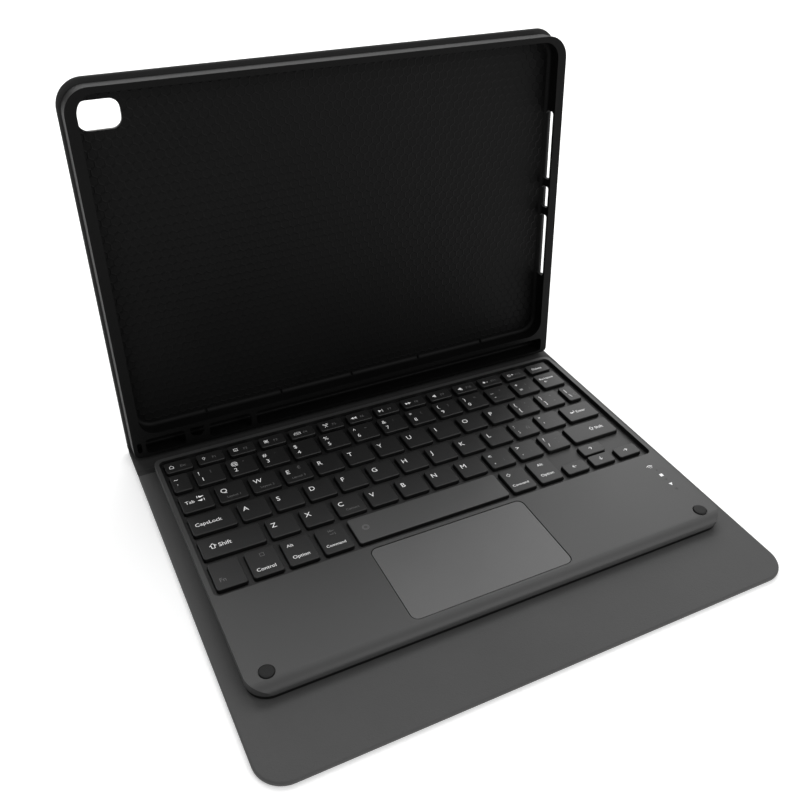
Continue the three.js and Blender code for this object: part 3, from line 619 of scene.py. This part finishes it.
def back_cover():
    """The panel behind the tray, with its hem, crease and camera hole."""
    piece = plate("back_cover", (-COVER_HALF, BACK_LOW_T, -COVER_N), (COVER_HALF, BACK_HIGH_T, -LINING_N),
                  (0, COVER_RADIUS), COVER_EDGE, COVER_EDGE, 14, 4)
    hem_line(piece)
    # the pressed crease across the back, above the free lower flap
    crease = box("crease", (-COVER_HALF - HEM, CREASE_T - CREASE_HALF, -COVER_N - 1 * MM),
                 (COVER_HALF + HEM, CREASE_T + CREASE_HALF, -COVER_N + CREASE_DEPTH))
    round_edges(crease, lambda a, b: a.z > -COVER_N and b.z > -COVER_N and abs(a.y - b.y) < SMALL,
                0.4 * MM, 3)
    cut(piece, crease, camera_cutter(0.5 * MM))
    raised(piece)
    finished(piece, LEATHER, "back_cover", "back_skin", "back_lining", slot="cover_leather", angle=30)


back_cover()

# ---- tray ----
PEN_LOW = 1.3 * MM
PEN_HIGH = 10.5 * MM
PEN_FRONT = 1.5 * MM
PEN_BACK = 10.1 * MM
PEN_INSET = 0.3 * MM
PEN_LEFT = -TRAY_HALF + 6.6 * MM
PEN_RIGHT = TRAY_HALF - 4.2 * MM
WINDOW_1 = 21.2 * MM
BRIDGE = 13.3 * MM
WINDOW_2 = 23.6 * MM
DIVIDER = 3 * MM
NOTCH = 7.6 * MM
PORT_HALF = 6.25 * MM
SLOT_BRIDGE = 4.4 * MM
SPEAKER = 38 * MM
SLOT_FRONT = 3 * MM
SLOT_BACK = 9.3 * MM
SLOT_WALL = 1.5 * MM
SLOT_RECESS = 0.9 * MM
RECESS_FRONT = 2.55 * MM
RIB_PITCH = 43.3 * MM
RIB_HALF = 0.45 * MM


def tray_cutters():
    """What is taken out of the tray: the pocket, its mouth, the pen channel and the openings."""
    floor = -TRAY_DEPTH + TRAY_FLOOR
    yield plate("pocket", (-POCKET_HALF, POCKET_LOW, floor), (POCKET_HALF, POCKET_HIGH, -LIP_THICK),
                (10 * MM, 10 * MM), 0.5 * MM, 2.2 * MM, 12, 4)
    yield plate("mouth", (-POCKET_HALF + LIP_REACH, POCKET_LOW + LIP_REACH / 2, -4 * MM),
                (POCKET_HALF - LIP_REACH, POCKET_HIGH - LIP_REACH, PAST), (8.8 * MM, 8.8 * MM), steps=12)
    yield camera_cutter(0)
    yield plate("pen_bore", (PEN_LEFT, PEN_LOW, -PEN_BACK), (PEN_RIGHT, PEN_HIGH, -PEN_FRONT),
                (2 * MM, 2 * MM), 0, 1.5 * MM, 4, 3)
    second = PEN_LEFT + WINDOW_1 + BRIDGE
    third = second + WINDOW_2 + DIVIDER
    for x0, x1 in ((PEN_LEFT, PEN_LEFT + WINDOW_1), (second, second + WINDOW_2), (third, PEN_RIGHT)):
        yield plate("window", (x0, PEN_LOW + PEN_INSET, -3 * MM), (x1, PEN_HIGH - PEN_INSET, PAST),
                    (2 * MM, 2 * MM), steps=5)
    notch = PEN_LEFT + WINDOW_1 + (BRIDGE - NOTCH) / 2
    yield plate("notch", (notch, PEN_LOW + 3.1 * MM, -3 * MM), (notch + NOTCH, PEN_HIGH - PEN_INSET, PAST),
                (3.4 * MM, 0.6 * MM), steps=6)
    left = -TRAY_HALF + 2.1 * MM
    yield plate("end_hole", (left, 2.9 * MM, -4.5 * MM), (left + 2.4 * MM, 8.9 * MM, PAST),
                (1.15 * MM, 1.15 * MM), steps=5)
    middle = (POCKET_LOW + POCKET_HIGH) / 2
    start = PORT_HALF + SLOT_BRIDGE
    for y0, y1 in ((-PORT_HALF, PORT_HALF), (start, start + SPEAKER), (-start - SPEAKER, -start)):
        slot = box("slot", (POCKET_HALF - 1 * MM, middle + y0, -SLOT_BACK),
                   (TRAY_HALF + PAST, middle + y1, -SLOT_FRONT))
        round_edges(slot, lambda a, b: abs(a.y - b.y) < SMALL and abs(a.z - b.z) < SMALL, 2 * MM, 5)
        yield slot
        # an outer recess leaves a thin wall round each slot
        yield box("recess", (POCKET_HALF + SLOT_WALL, middle + y0 - SLOT_RECESS, -TRAY_DEPTH - PAST),
                  (TRAY_HALF + PAST, middle + y1 + SLOT_RECESS, -RECESS_FRONT))


def tray():
    """The rubber tray, and the five small ribs at the foot of its pocket."""
    piece = plate("tray", (-TRAY_HALF, 0, -TRAY_DEPTH), (TRAY_HALF, TRAY_HEIGHT, 0),
                  (3 * MM, 11.7 * MM), 0.25 * MM, 2.4 * MM, 14, 5)
    cut(piece, *tray_cutters())
    soften(piece, 0.3 * MM, 2, 40)
    ribs = []
    floor = -TRAY_DEPTH + TRAY_FLOOR
    for i in range(5):
        x = (i - 2) * RIB_PITCH
        ribs.append(plate("rib", (x - RIB_HALF, POCKET_LOW - 0.4 * MM, floor - 0.4 * MM),
                          (x + RIB_HALF, POCKET_LOW + 2.2 * MM, floor + 1.4 * MM),
                          (0.1 * MM, 0.35 * MM), 0.3 * MM, steps=3))
    raised(piece)
    rib_piece = raised(joined("tray_ribs", ribs))
    finished(piece, TRAY, "back_cover", "tray_shell", slot="tray_rubber")
    finished(rib_piece, TRAY, "back_cover", slot="tray_rubber")


tray()

# ---- keyboard shells ----
NOSE_LENGTH = 6.5 * MM
NOSE_HEIGHT = 3.6 * MM
WELL_FLOOR_TOP = DECK_HIGH.z - 2.6 * MM
WELL_FLOOR_LOW = WELL_FLOOR_TOP - 0.7 * MM
WELL_LEFT = DECK_LOW.x + 2.1 * MM
WELL_RIGHT = DECK_HIGH.x - 2.1 * MM
WELL_FRONT = DECK_LOW.y + 55.3 * MM
WELL_REAR = DECK_HIGH.y - 2 * MM
KEY_PITCH = 17.35 * MM
KEY_GAP = 2.9 * MM
KEY_DEPTH = 13.3 * MM
ROW_GAP = 3.5 * MM
BOTTOM_DEPTH = 17 * MM
SMALL_PITCH = 16.6 * MM
ARROW_GAP = 1.4 * MM
KEYS_LEFT = WELL_LEFT + 2.1 * MM
KEYS_RIGHT = WELL_RIGHT - 3.8 * MM
BOTTOM_ROW = WELL_FRONT + 3.8 * MM
ROWS = [BOTTOM_ROW + BOTTOM_DEPTH + n * ROW_GAP + (n - 1) * KEY_DEPTH for n in (1, 2, 3, 4)]
TOP_ROW = ROWS[3] + KEY_DEPTH + 2.6 * MM
TOP_DEPTH = 8.2 * MM
KEY_WIDTH = KEY_PITCH - KEY_GAP
KEY_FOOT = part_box("key_q")[0].z
SMALL_WIDTH = SMALL_PITCH - KEY_GAP
SHELL_WALL = 1.4 * MM
DECK_SKIN = 1 * MM
PAD_GAP = 0.35 * MM
PAD_RADIUS = 3.5 * MM
KEY_HOLE_GAP = 0.35 * MM
SOCKET_GAP = 0.3 * MM
SWITCH_GAP = 0.35 * MM
SWITCH_TRAVEL = 3 * MM


def key_rows():
    """Every key as name: (left, front, right, rear)."""
    keys = {}

    def letter_row(y, first, names):
        for i, name in enumerate(names):
            x0 = KEYS_LEFT if i == 0 else KEYS_LEFT + first + KEY_GAP + (i - 1) * KEY_PITCH
            x1 = KEYS_LEFT + first if i == 0 else x0 + KEY_WIDTH
            keys[name] = (x0, y, KEYS_RIGHT if i == len(names) - 1 else x1, y + KEY_DEPTH)

    letter_row(ROWS[0], 30.3 * MM, ["shift_left", *"zxcvbnm", "comma", "period", "slash", "shift_right"])
    letter_row(ROWS[1], 21.7 * MM, ["caps", *"asdfghjkl", "semicolon", "quote", "enter"])
    letter_row(ROWS[2], 15.6 * MM, ["tab", *"qwertyuiop", "bracket", "bracket_close", "backslash"])
    letter_row(ROWS[3], 9.2 * MM, ["grave", *"1234567890", "minus", "equals", "backspace"])
    y0, y1 = BOTTOM_ROW, BOTTOM_ROW + BOTTOM_DEPTH
    for i in range(4):
        x0 = KEYS_LEFT + i * KEY_PITCH
        keys[f"modifier{i}"] = (x0, y0, x0 + KEY_WIDTH, y1)
    right = KEYS_RIGHT - 4 * SMALL_PITCH - SMALL_WIDTH
    keys["space"] = (KEYS_LEFT + 4 * KEY_PITCH, y0, right - KEY_GAP, y1)
    half = (BOTTOM_DEPTH - ARROW_GAP) / 2
    for i in range(5):
        x0 = right + i * SMALL_PITCH
        keys[f"right{i}"] = (x0, y0, x0 + SMALL_WIDTH, y1 if i < 2 else y0 + half)
    x0 = right + 3 * SMALL_PITCH
    keys["right_up"] = (x0, y1 - half, x0 + SMALL_WIDTH, y1)
    gap = 3.2 * MM
    width = (KEYS_RIGHT - KEYS_LEFT - 13 * gap) / 14
    for i in range(14):
        x0 = KEYS_LEFT + i * (width + gap)
        keys[f"function{i}"] = (x0, TOP_ROW, x0 + width, TOP_ROW + TOP_DEPTH)
    return keys


def key_body(name):
    """The body that a key moves with."""
    if len(name) == 1 and name.isalpha() or name == "space":
        return f"key_{name}"
    if name.startswith("function"):
        return "function_row_keys"
    if name.startswith("modifier"):
        return "left_modifier_keys"
    if name in ("tab", "caps", "shift_left"):
        return "tab_caps_shift_keys"
    if name in ("bracket", "bracket_close", "backslash", "semicolon", "quote", "enter"):
        return "bracket_and_enter_keys"
    if name in ("comma", "period", "slash", "shift_right"):
        return "punctuation_and_shift_keys"
    if name.startswith("right"):
        return "right_modifier_and_arrow_keys"
    return "number_row_keys"


KEY_ROWS = key_rows()


def key_plate(name, margin, low, high, edge=0.0, edge_steps=2):
    """A block in a key's outline, grown by the margin."""
    x0, y0, x1, y1 = KEY_ROWS[name]
    radius = 1.2 * MM + margin
    return plate(f"plate_{name}", (x0 - margin, y0 - margin, low), (x1 + margin, y1 + margin, high),
                 (radius, radius), edge, steps=4, edge_steps=edge_steps)


def nose_block():
    """The deck's block with its long rounded front edge."""
    piece = box("deck", DECK_LOW, DECK_HIGH)
    steps = 10
    rings = [(DECK_LOW.y + NOSE_LENGTH * (1 - math.cos(math.pi / 2 * i / steps)),
              NOSE_HEIGHT * (1 - math.sin(math.pi / 2 * i / steps))) for i in range(steps + 1)]
    for y, _ in rings[1:]:
        alone(piece)
        bpy.ops.object.mode_set(mode="EDIT")
        bpy.ops.mesh.select_all(action="SELECT")
        bpy.ops.mesh.bisect(plane_co=(0, y, 0), plane_no=(0, 1, 0))
        bpy.ops.object.mode_set(mode="OBJECT")
    for y, drop in rings[:-1]:
        edit(piece, "EDGE", lambda a, b: abs(a.y - y) < SMALL and abs(b.y - y) < SMALL
             and abs(a.z - DECK_HIGH.z) < SMALL and abs(b.z - DECK_HIGH.z) < SMALL,
             (bpy.ops.transform.translate, {"value": (0, 0, -drop)}))
    return piece


def side_cutter(node, margin, reach=0.0):
    """An opening in the keyboard's right side, round a node and its travel."""
    low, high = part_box(node)
    return box("side_cutter", (DECK_HIGH.x - 2.1 * MM, low.y - margin, low.z - margin),
               (DECK_HIGH.x + PAST, high.y + margin + reach, high.z + margin))


def deck():
    """The keyboard's upper shell, with its key well, key holes and openings."""
    piece = nose_block()
    outline = plate("outline", (DECK_LOW.x, DECK_LOW.y, DECK_LOW.z - 1 * MM),
                    (DECK_HIGH.x, DECK_HIGH.y, DECK_HIGH.z + 1 * MM), (10 * MM, 4 * MM), steps=14)
    modify(piece, "BOOLEAN", operation="INTERSECT", solver="EXACT", object=outline)
    bpy.data.objects.remove(outline)
    soften(piece, 0.5 * MM, 3, 50)
    wall = SHELL_WALL
    front = plate("hollow", (DECK_LOW.x + wall, DECK_LOW.y + wall + NOSE_LENGTH / 3, DECK_LOW.z - 1 * MM),
                  (DECK_HIGH.x - wall, WELL_FRONT - 0.9 * MM, DECK_HIGH.z - DECK_SKIN), (9 * MM, 1 * MM))
    under = box("under", (DECK_LOW.x + wall, WELL_FRONT - 1.2 * MM, DECK_LOW.z - 1 * MM),
                (DECK_HIGH.x - wall, DECK_HIGH.y - wall, WELL_FLOOR_LOW))
    well = plate("well", (WELL_LEFT, WELL_FRONT, WELL_FLOOR_TOP),
                 (WELL_RIGHT, WELL_REAR, DECK_HIGH.z + 1 * MM), (3 * MM, 3 * MM))
    pad = plate("pad_hole", (TOUCHPAD_LOW.x - PAD_GAP, TOUCHPAD_LOW.y - PAD_GAP, DECK_LOW.z - 1 * MM),
                (TOUCHPAD_HIGH.x + PAD_GAP, TOUCHPAD_HIGH.y + PAD_GAP, DECK_HIGH.z + 1 * MM),
                (PAD_RADIUS + PAD_GAP, PAD_RADIUS + PAD_GAP))
    cut(piece, front, under, well, pad)
    soften(piece, 0.18 * MM, 2, 60)
    holes = [key_plate(name, KEY_HOLE_GAP, WELL_FLOOR_LOW - 1 * MM, WELL_FLOOR_TOP + 0.5 * MM)
             for name in KEY_ROWS]
    cut(piece, joined("key_holes", holes))
    bumpers = []
    for node in ("bumper_left", "bumper_right"):
        low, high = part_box(node)
        radius = (high.x - low.x) / 2 + 0.3 * MM
        bumpers.append(disc("seat", (low + high) / 2, radius, low.z, high.z + 1 * MM))
    low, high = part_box("status_light_guide")
    x, step = (low.x + high.x) / 2, (high.y - low.y - 4 * MM) / 2
    lights = [disc("light_hole", (x, low.y + 2 * MM + i * step), 0.65 * MM, low.z, high.z + 1 * MM, 20)
              for i in range(3)]
    cut(piece, *bumpers, *lights, side_cutter("charging_socket", SOCKET_GAP),
        side_cutter("power_switch", SWITCH_GAP, SWITCH_TRAVEL))
    finished(piece, DECK, "keyboard", "keyboard_deck", slot="shell_plastic", angle=32)


def pan():
    """The keyboard's lower shell."""
    piece = plate("pan", PAN_LOW, PAN_HIGH, (9.6 * MM, 3.6 * MM), 0, 0.7 * MM, 10, 3)
    wall = SHELL_WALL
    hollow = plate("hollow", (PAN_LOW.x + wall, PAN_LOW.y + wall, PAN_LOW.z + 0.9 * MM),
                   (PAN_HIGH.x - wall, PAN_HIGH.y - wall, PAN_HIGH.z + 1 * MM), (8.2 * MM, 2.2 * MM))
    cut(piece, hollow, side_cutter("charging_socket", SOCKET_GAP),
        side_cutter("power_switch", SWITCH_GAP, SWITCH_TRAVEL))
    finished(piece, PAN, "keyboard", "bottom_shell", slot="shell_plastic")


def touchpad():
    """The touchpad's slab, with its finely rounded edge."""
    piece = plate("touchpad_slab", TOUCHPAD_LOW, TOUCHPAD_HIGH, (PAD_RADIUS, PAD_RADIUS), 0.22 * MM,
                  edge_steps=2)
    finished(piece, PAD, "touchpad", "touchpad", slot="shell_plastic")


def small_parts():
    """The two rubber bumpers and the ribbed knob of the power switch."""
    for node in ("bumper_left", "bumper_right"):
        low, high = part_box(node)
        piece = disc(f"{node}_dome", (low + high) / 2, (high.x - low.x) / 2, low.z, high.z)
        round_edges(piece, lambda a, b: abs(a.z - high.z) < SMALL and abs(b.z - high.z) < SMALL, 0.5 * MM, 4)
        edit(piece, "FACE", lambda face: face.normal.z > 0.9 and face.area > 5 * MM * MM,
             (bpy.ops.mesh.inset, {"thickness": 1.2 * MM, "depth": 0.08 * MM}))
        finished(piece, RUBBER, "keyboard", node, slot="bumper_rubber")
    low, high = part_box("power_switch")
    piece = box("switch_knob", low, high)
    grip = [box("grip", (high.x - 0.25 * MM, low.y + y * MM, low.z - 1 * MM),
                (high.x + 1 * MM, low.y + (y + 0.4) * MM, high.z + 1 * MM)) for y in (1.3, 2.3, 3.3)]
    cut(piece, *grip)
    soften(piece, 0.12 * MM, 2)
    finished(piece, RUBBER, "power_switch", "power_switch", slot="bumper_rubber")


deck()
pan()
touchpad()
small_parts()

# ---- keys ----
FLANGE = 0.6 * MM
KEY_SHOULDER = KEY_FOOT + 0.5 * MM


def flange(names):
    """The lip under the well floor that keeps keys in and joins those that move together."""
    spots = [KEY_ROWS[name] for name in names]
    low = [min(spot[i] for spot in spots) - FLANGE for i in (0, 1)]
    high = [max(spot[i] for spot in spots) + FLANGE for i in (2, 3)]
    return plate("flange", (*low, KEY_FOOT), (*high, KEY_SHOULDER), (0.4 * MM, 0.4 * MM), steps=2)


def cap(name, made):
    """A key cap with rounded corners and a soft top edge; caps of one size are copies."""
    x0, y0, x1, y1 = KEY_ROWS[name]
    size = (round((x1 - x0) / MM, 2), round((y1 - y0) / MM, 2))
    if size not in made:
        piece = key_plate(name, 0, KEY_SHOULDER - 0.1 * MM, KEY_TOP, 0.42 * MM, 3)
        made[size] = (piece, Vector((x0, y0, 0)))
    first, corner = made[size]
    piece = first.copy()
    piece.data = first.data.copy()
    bpy.context.scene.collection.objects.link(piece)
    piece.location = Vector((x0, y0, 0)) - corner
    return settled(piece)


FLANGE_GROUPS = {
    "tab_caps_shift_keys": (("tab",), ("caps",), ("shift_left",)),
    "bracket_and_enter_keys": (("bracket", "backslash"), ("semicolon", "enter")),
}


def key_caps():
    """Caps and lips of every body of keys; returns the keys of each body."""
    made = {}
    bodies = {}
    for name in KEY_ROWS:
        bodies.setdefault(key_body(name), []).append(name)
    for body, names in bodies.items():
        groups = FLANGE_GROUPS.get(body, (names,))
        piece = joined(f"{body}_caps", [cap(name, made) for name in names] + [flange(g) for g in groups])
        # the space bar gets the key plastic painted lighter, a stand-in for light falling on it
        material = SPACE_KEY_PAINTED_LIGHT if body == "key_space" else KEYS
        finished(piece, material, body, body, slot="key_plastic", angle=32)
    for piece, _ in made.values():
        bpy.data.objects.remove(piece)
    return bodies


BODIES = key_caps()

# ---- printing: text, mm from the key's left side, mm of its baseline from the key's rear, size ----
PRINT = {
    "tab": (("Tab", 2.3, 7.4, 3.1), ("⇤", 8.3, 5.5, 4.0), ("⇥", 8.3, 8.2, 4.0)),
    "caps": (("CapsLock", 2.4, 7.8, 3.3),),
    "shift_left": (("⇧", 4.0, 8.0, 4.4), ("Shift", 8.8, 7.8, 3.6)),
    "enter": (("↵", 3.6, 7.7, 3.8), ("Enter", 7.8, 7.6, 2.8)),
    "shift_right": (("⇧", 13.4, 7.6, 3.6), ("Shift", 17.4, 7.6, 3.0)),
    "backspace": (("Backspace", 1.6, 5.4, 2.3), ("←", 3.0, 8.6, 2.8)),
    "modifier1": (("Control", 2.3, 13.8, 2.9),),
    "modifier2": (("Alt", 2.4, 5.2, 2.7), ("Option", 2.6, 13.2, 2.9)),
    "modifier3": (("Command", 1.9, 13.2, 2.35),),
    "right0": (("◇", 2.6, 5.2, 2.6), ("Command", 1.6, 13.2, 2.25)),
    "right1": (("Alt", 5.2, 4.8, 2.7), ("Option", 2.6, 12.6, 2.7)),
    "right2": (("←", 4.8, 4.4, 3.4),),
    "right3": (("↓", 5.2, 4.8, 3.2),),
    "right_up": (("↑", 5.2, 4.8, 3.2),),
    "right4": (("→", 4.8, 4.4, 3.4),),
    "function0": (("⌂", 2.0, 5.4, 3.6),),
    "function1": (("⚲", 2.4, 5.4, 3.6),),
    "function2": (("□", 2.2, 5.2, 3.0), ("«", 3.0, 4.9, 2.0)),
    "function3": (("□", 2.2, 5.2, 3.0), ("■", 2.9, 4.6, 1.4)),
    "function4": (("▭", 2.2, 5.6, 4.0), ("▭", 2.8, 4.6, 3.4)),
    "function5": (("✂", 2.0, 5.4, 3.2),),
    "function6": (("◀", 1.9, 5.2, 2.2), ("◀", 3.6, 5.2, 2.2)),
    "function7": (("▶", 1.9, 5.2, 2.2), ("‖", 3.9, 5.2, 2.0)),
    "function8": (("▶", 1.9, 5.2, 2.2), ("▶", 3.6, 5.2, 2.2)),
    "function9": (("◀", 2.2, 5.4, 2.8),),
    "function10": (("◀", 2.2, 5.4, 2.8), (")", 4.4, 5.4, 2.6)),
    "function11": (("●", 2.2, 5.2, 2.0), ("-", 4.6, 5.4, 3.2)),
    "function12": (("○", 2.2, 5.4, 2.6), ("+", 4.8, 5.4, 3.2)),
    "function13": (("Delete", 2.6, 5.4, 2.5),),
}
DOUBLE = {
    "grave": "~`", "1": "!1", "2": "@2", "3": "#3", "4": "$4", "5": "%5", "6": "^6", "7": "&7", "8": "*8",
    "9": "(9", "0": ")0", "minus": "_-", "equals": "+=", "bracket": "{[", "bracket_close": "}]",
    "backslash": "|\\", "semicolon": ":;", "quote": "\"'", "comma": "<,", "period": ">.", "slash": "?/",
}
FAINT = {
    "modifier0": (("Fn", 2.6, 12.7, 3.4),), "modifier1": (("□", 6.4, 5.2, 3.0),),
    "modifier3": (("⇤", 6.0, 4.6, 3.6), ("⇥", 6.0, 6.8, 3.6)), "space": (("◎", 4.6, 9.6, 4.6),),
    "q": (("Layout 1", 4.0, 10.8, 2.1),), "w": (("Layout 2", 4.0, 10.8, 2.1),),
    "e": (("€", 8.6, 4.6, 3.0), ("Layout 3", 3.6, 10.8, 2.1)), "c": (("Connect", 4.4, 10.4, 2.0),),
    "1": (("|", 8.2, 5.0, 2.6),), "2": (("\"", 8.4, 5.2, 2.8),), "3": (("·", 8.4, 5.2, 3.0),),
    "6": (("¬", 8.4, 5.0, 2.6),), "7": (("/", 8.4, 5.2, 2.6),), "8": (("(", 8.4, 5.2, 2.6),),
    "9": ((")", 8.4, 5.2, 2.6),), "0": (("=", 8.4, 5.2, 2.6),), "minus": (("?", 8.4, 5.2, 2.6),),
    "equals": (("¿", 8.4, 5.2, 2.6), ("¡", 8.6, 9.6, 2.6)),
    "bracket": (("^", 8.6, 5.4, 2.6), ("`", 8.6, 10.0, 2.8)),
    "bracket_close": (("*", 8.6, 5.4, 2.8), ("+", 8.6, 9.8, 2.6)), "backslash": (("Ç", 5.2, 9.4, 2.6),),
    "semicolon": (("Ñ", 8.4, 8.6, 3.0),), "quote": (("¨", 8.6, 5.6, 2.8), ("´", 8.6, 10.0, 2.8)),
    "comma": ((";", 8.6, 9.4, 2.6),), "period": ((":", 8.6, 9.4, 2.6),),
    "slash": (("_", 8.6, 5.0, 2.6), ("-", 8.6, 9.4, 2.8)),
}
PRINT_WELD = 0.0005 * MM
PRINT_SUNK = 0.05 * MM
PRINT_THICK = 0.07 * MM


def text(words, x, y, z, size, thick, turn=0.0):
    """Words as a thin solid layer of ink; its meshing is done at full size."""
    bpy.ops.object.select_all(action="DESELECT")
    bpy.ops.object.text_add()
    piece = bpy.context.object
    piece.data.body = words
    piece.data.size = 1
    piece.data.resolution_u = 3
    piece.data.extrude = thick / size / 2
    bpy.ops.object.convert(target="MESH")
    piece = bpy.context.object
    piece.scale = (size, size, size)
    piece.rotation_euler = (0, 0, turn)
    piece.location = (x, y, z + thick / 2)
    return settled(piece)


def key_text(name, entry):
    """One entry of the tables above as ink on its key's top."""
    words, left, down, size = entry
    x0, _, _, y1 = KEY_ROWS[name]
    return text(words, x0 + left * MM, y1 - down * MM, KEY_TOP - PRINT_SUNK, size * MM, PRINT_THICK)


def key_print(name):
    """The white marks of one key."""
    if name in DOUBLE:
        left = 1.6 if name == "grave" else 2.0
        upper, lower = DOUBLE[name]
        return ((upper, left, 5.2, 3.8), (lower, left + 0.5, 10.2, 3.8))
    if name in PRINT:
        return PRINT[name]
    return ((name.upper(), 2.0, 6.5, 4.3),) if len(name) == 1 else ()


def printing():
    """White and faint marks of every body of keys, and the status marks on the deck."""
    for body, names in BODIES.items():
        white = [key_text(name, entry) for name in names for entry in key_print(name)]
        faint = [key_text(name, entry) for name in names for entry in FAINT.get(name, ())]
        if body == "function_row_keys":
            words = ["Esc", *(f"F{i}" for i in range(1, 13))]
            faint += [key_text(f"function{i}", (word, 7.6, 5.4, 2.4)) for i, word in enumerate(words)]
        if white:
            finished(welded(joined(f"{body}_print", white), PRINT_WELD), INK, body, slot="key_plastic")
        if faint:
            marks = welded(joined(f"{body}_faint_print", faint), PRINT_WELD)
            finished(marks, FAINT_INK, body, slot="key_plastic")
    low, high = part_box("status_light_guide")
    x = (low.x + high.x) / 2
    z, thick = DECK_HIGH.z - 0.02 * MM, 0.06 * MM
    marks = [text(")", x - 1.1 * MM + size * 0.1 * MM, low.y + (19.2 + size * 0.55) * MM, z, size * MM,
                  thick, math.pi / 2) for size in (1.6, 2.8, 4.0)]
    marks += [text("■", x - 1.4 * MM, low.y + 12.6 * MM, z, 2.6 * MM, thick),
              text("▼", x - 1.4 * MM, low.y + 5.0 * MM, z, 2.4 * MM, thick)]
    finished(welded(joined("deck_print", marks), PRINT_WELD), INK, "keyboard", slot="shell_plastic")


printing()


# ---- soft hinges ----
FOLD_REACH = 1.55 * MM      # from the fold line to where the panels are stiff
FOLD_TAIL = 0.7 * MM
FOLD_THICK = 1.9 * MM
FOLD_MIDDLE = 1.25 * MM
FOLD_HALF = BASE_HIGH.x - 0.2 * MM
FOLD_STEPS = 8


def hinge_strip(name, fold, turn):
    """Leather that bends between two panels: a tail, a bend about the fold, and another tail."""
    way = Vector((0, math.cos(turn), math.sin(turn)))
    start = fold.y - FOLD_REACH
    end = Vector((0, start + 2 * FOLD_REACH, FOLD_MIDDLE))
    piece = box(name, (-FOLD_HALF, start - FOLD_TAIL, FOLD_MIDDLE - FOLD_THICK / 2),
                (FOLD_HALF, start, FOLD_MIDDLE + FOLD_THICK / 2))
    if turn:
        radius = FOLD_REACH / math.tan(turn / 2)
        end = Vector((0, start + radius * way.z, FOLD_MIDDLE + radius * (1 - way.y)))
        edit(piece, "FACE", lambda face: face.normal.y > 0.9, (bpy.ops.mesh.spin, {
            "steps": FOLD_STEPS, "angle": -turn, "center": (0, start, FOLD_MIDDLE + radius),
            "axis": (1, 0, 0)}))
    else:
        for _ in range(FOLD_STEPS):
            edit(piece, "FACE", lambda face: face.normal.y > 0.9, (bpy.ops.mesh.extrude_region_move, {
                "TRANSFORM_OT_translate": {"value": way * 2 * FOLD_REACH / FOLD_STEPS}}))
    edit(piece, "FACE", lambda face: (face.center - end).length < 0.05 * MM, (
        bpy.ops.mesh.extrude_region_move, {"TRANSFORM_OT_translate": {"value": way * FOLD_TAIL}}))
    welded(piece, 0.01 * MM)
    edit(piece, "FACE", lambda face: True, (bpy.ops.mesh.normals_make_consistent, {"inside": False}))
    finished(piece, LEATHER, None, slot="cover_leather")
    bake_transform(piece)


hinge_strip("front_hinge", FRONT_FOLD, 0)
hinge_strip("rear_hinge", REAR_FOLD, math.pi / 2 - LEAN)

# ---- inner pieces carried over ----
INNER = {
    "base_board": BOARD, "spine_board": BOARD, "lower_flap_board": BOARD, "back_board": BOARD,
    "steel_keeper_strip": STEEL, "magnet_strip": STEEL, "charging_socket": STEEL, "battery": FOIL,
    "circuit_board": CIRCUIT, "touchpad_board": CIRCUIT, "key_membrane": FILM, "bonding_sheet": FILM,
    "status_light_guide": PRISM,
}
for node, material in INNER.items():
    mesh = frame["nodes"][node].data
    mesh.materials.clear()
    mesh.materials.append(material)


# ---- floor and light ----
FLOOR_SIZE = 12
FLOOR_GLOW = 0.28
ROOM_LIGHT = 0.5


def floor():
    """A large plain pale floor."""
    bpy.ops.object.select_all(action="DESELECT")
    bpy.ops.mesh.primitive_plane_add(size=FLOOR_SIZE, location=(0, 0, 0))
    piece = bpy.context.object
    piece.name = "floor"
    finish = Finish("pale floor")
    cloud = finish.noise(finish.place(), 3, 2)
    finish.paint(Base_Color=finish.mix(cloud, grey(0.93), grey(0.97)), Roughness=0.7 + cloud * 0.1)
    finish.shader.inputs["Emission Color"].default_value = (1, 1, 1, 1)
    finish.shader.inputs["Emission Strength"].default_value = FLOOR_GLOW
    piece.data.materials.append(finish.material)


def lamp(name, place, target, size, power):
    """A soft box light at a place, turned to its target."""
    data = bpy.data.lights.new(name, "AREA")
    data.shape = "RECTANGLE"
    data.size, data.size_y = size
    data.energy = power
    made = bpy.data.objects.new(name, data)
    way = Vector(target) - Vector(place)
    made.rotation_euler = way.to_track_quat("-Z", "Y").to_euler()
    made.location = place
    bpy.context.scene.collection.objects.link(made)


def world(level):
    """Even white light from the room."""
    made = bpy.data.worlds.new("room")
    made.use_nodes = True
    background = made.node_tree.nodes["Background"]
    background.inputs["Color"].default_value = (1, 1, 1, 1)
    background.inputs["Strength"].default_value = level
    bpy.context.scene.world = made


floor()
world(ROOM_LIGHT)
lamp("rear_softbox", (0.45, 1.2, 1.15), (0.03, -0.05, 0), (2.4, 1.6), 26)
lamp("front_softbox", (0.6, -0.9, 0.9), (0.05, -0.06, 0), (0.9, 0.9), 5)
bpy.context.scene.view_settings.view_transform = "Standard"
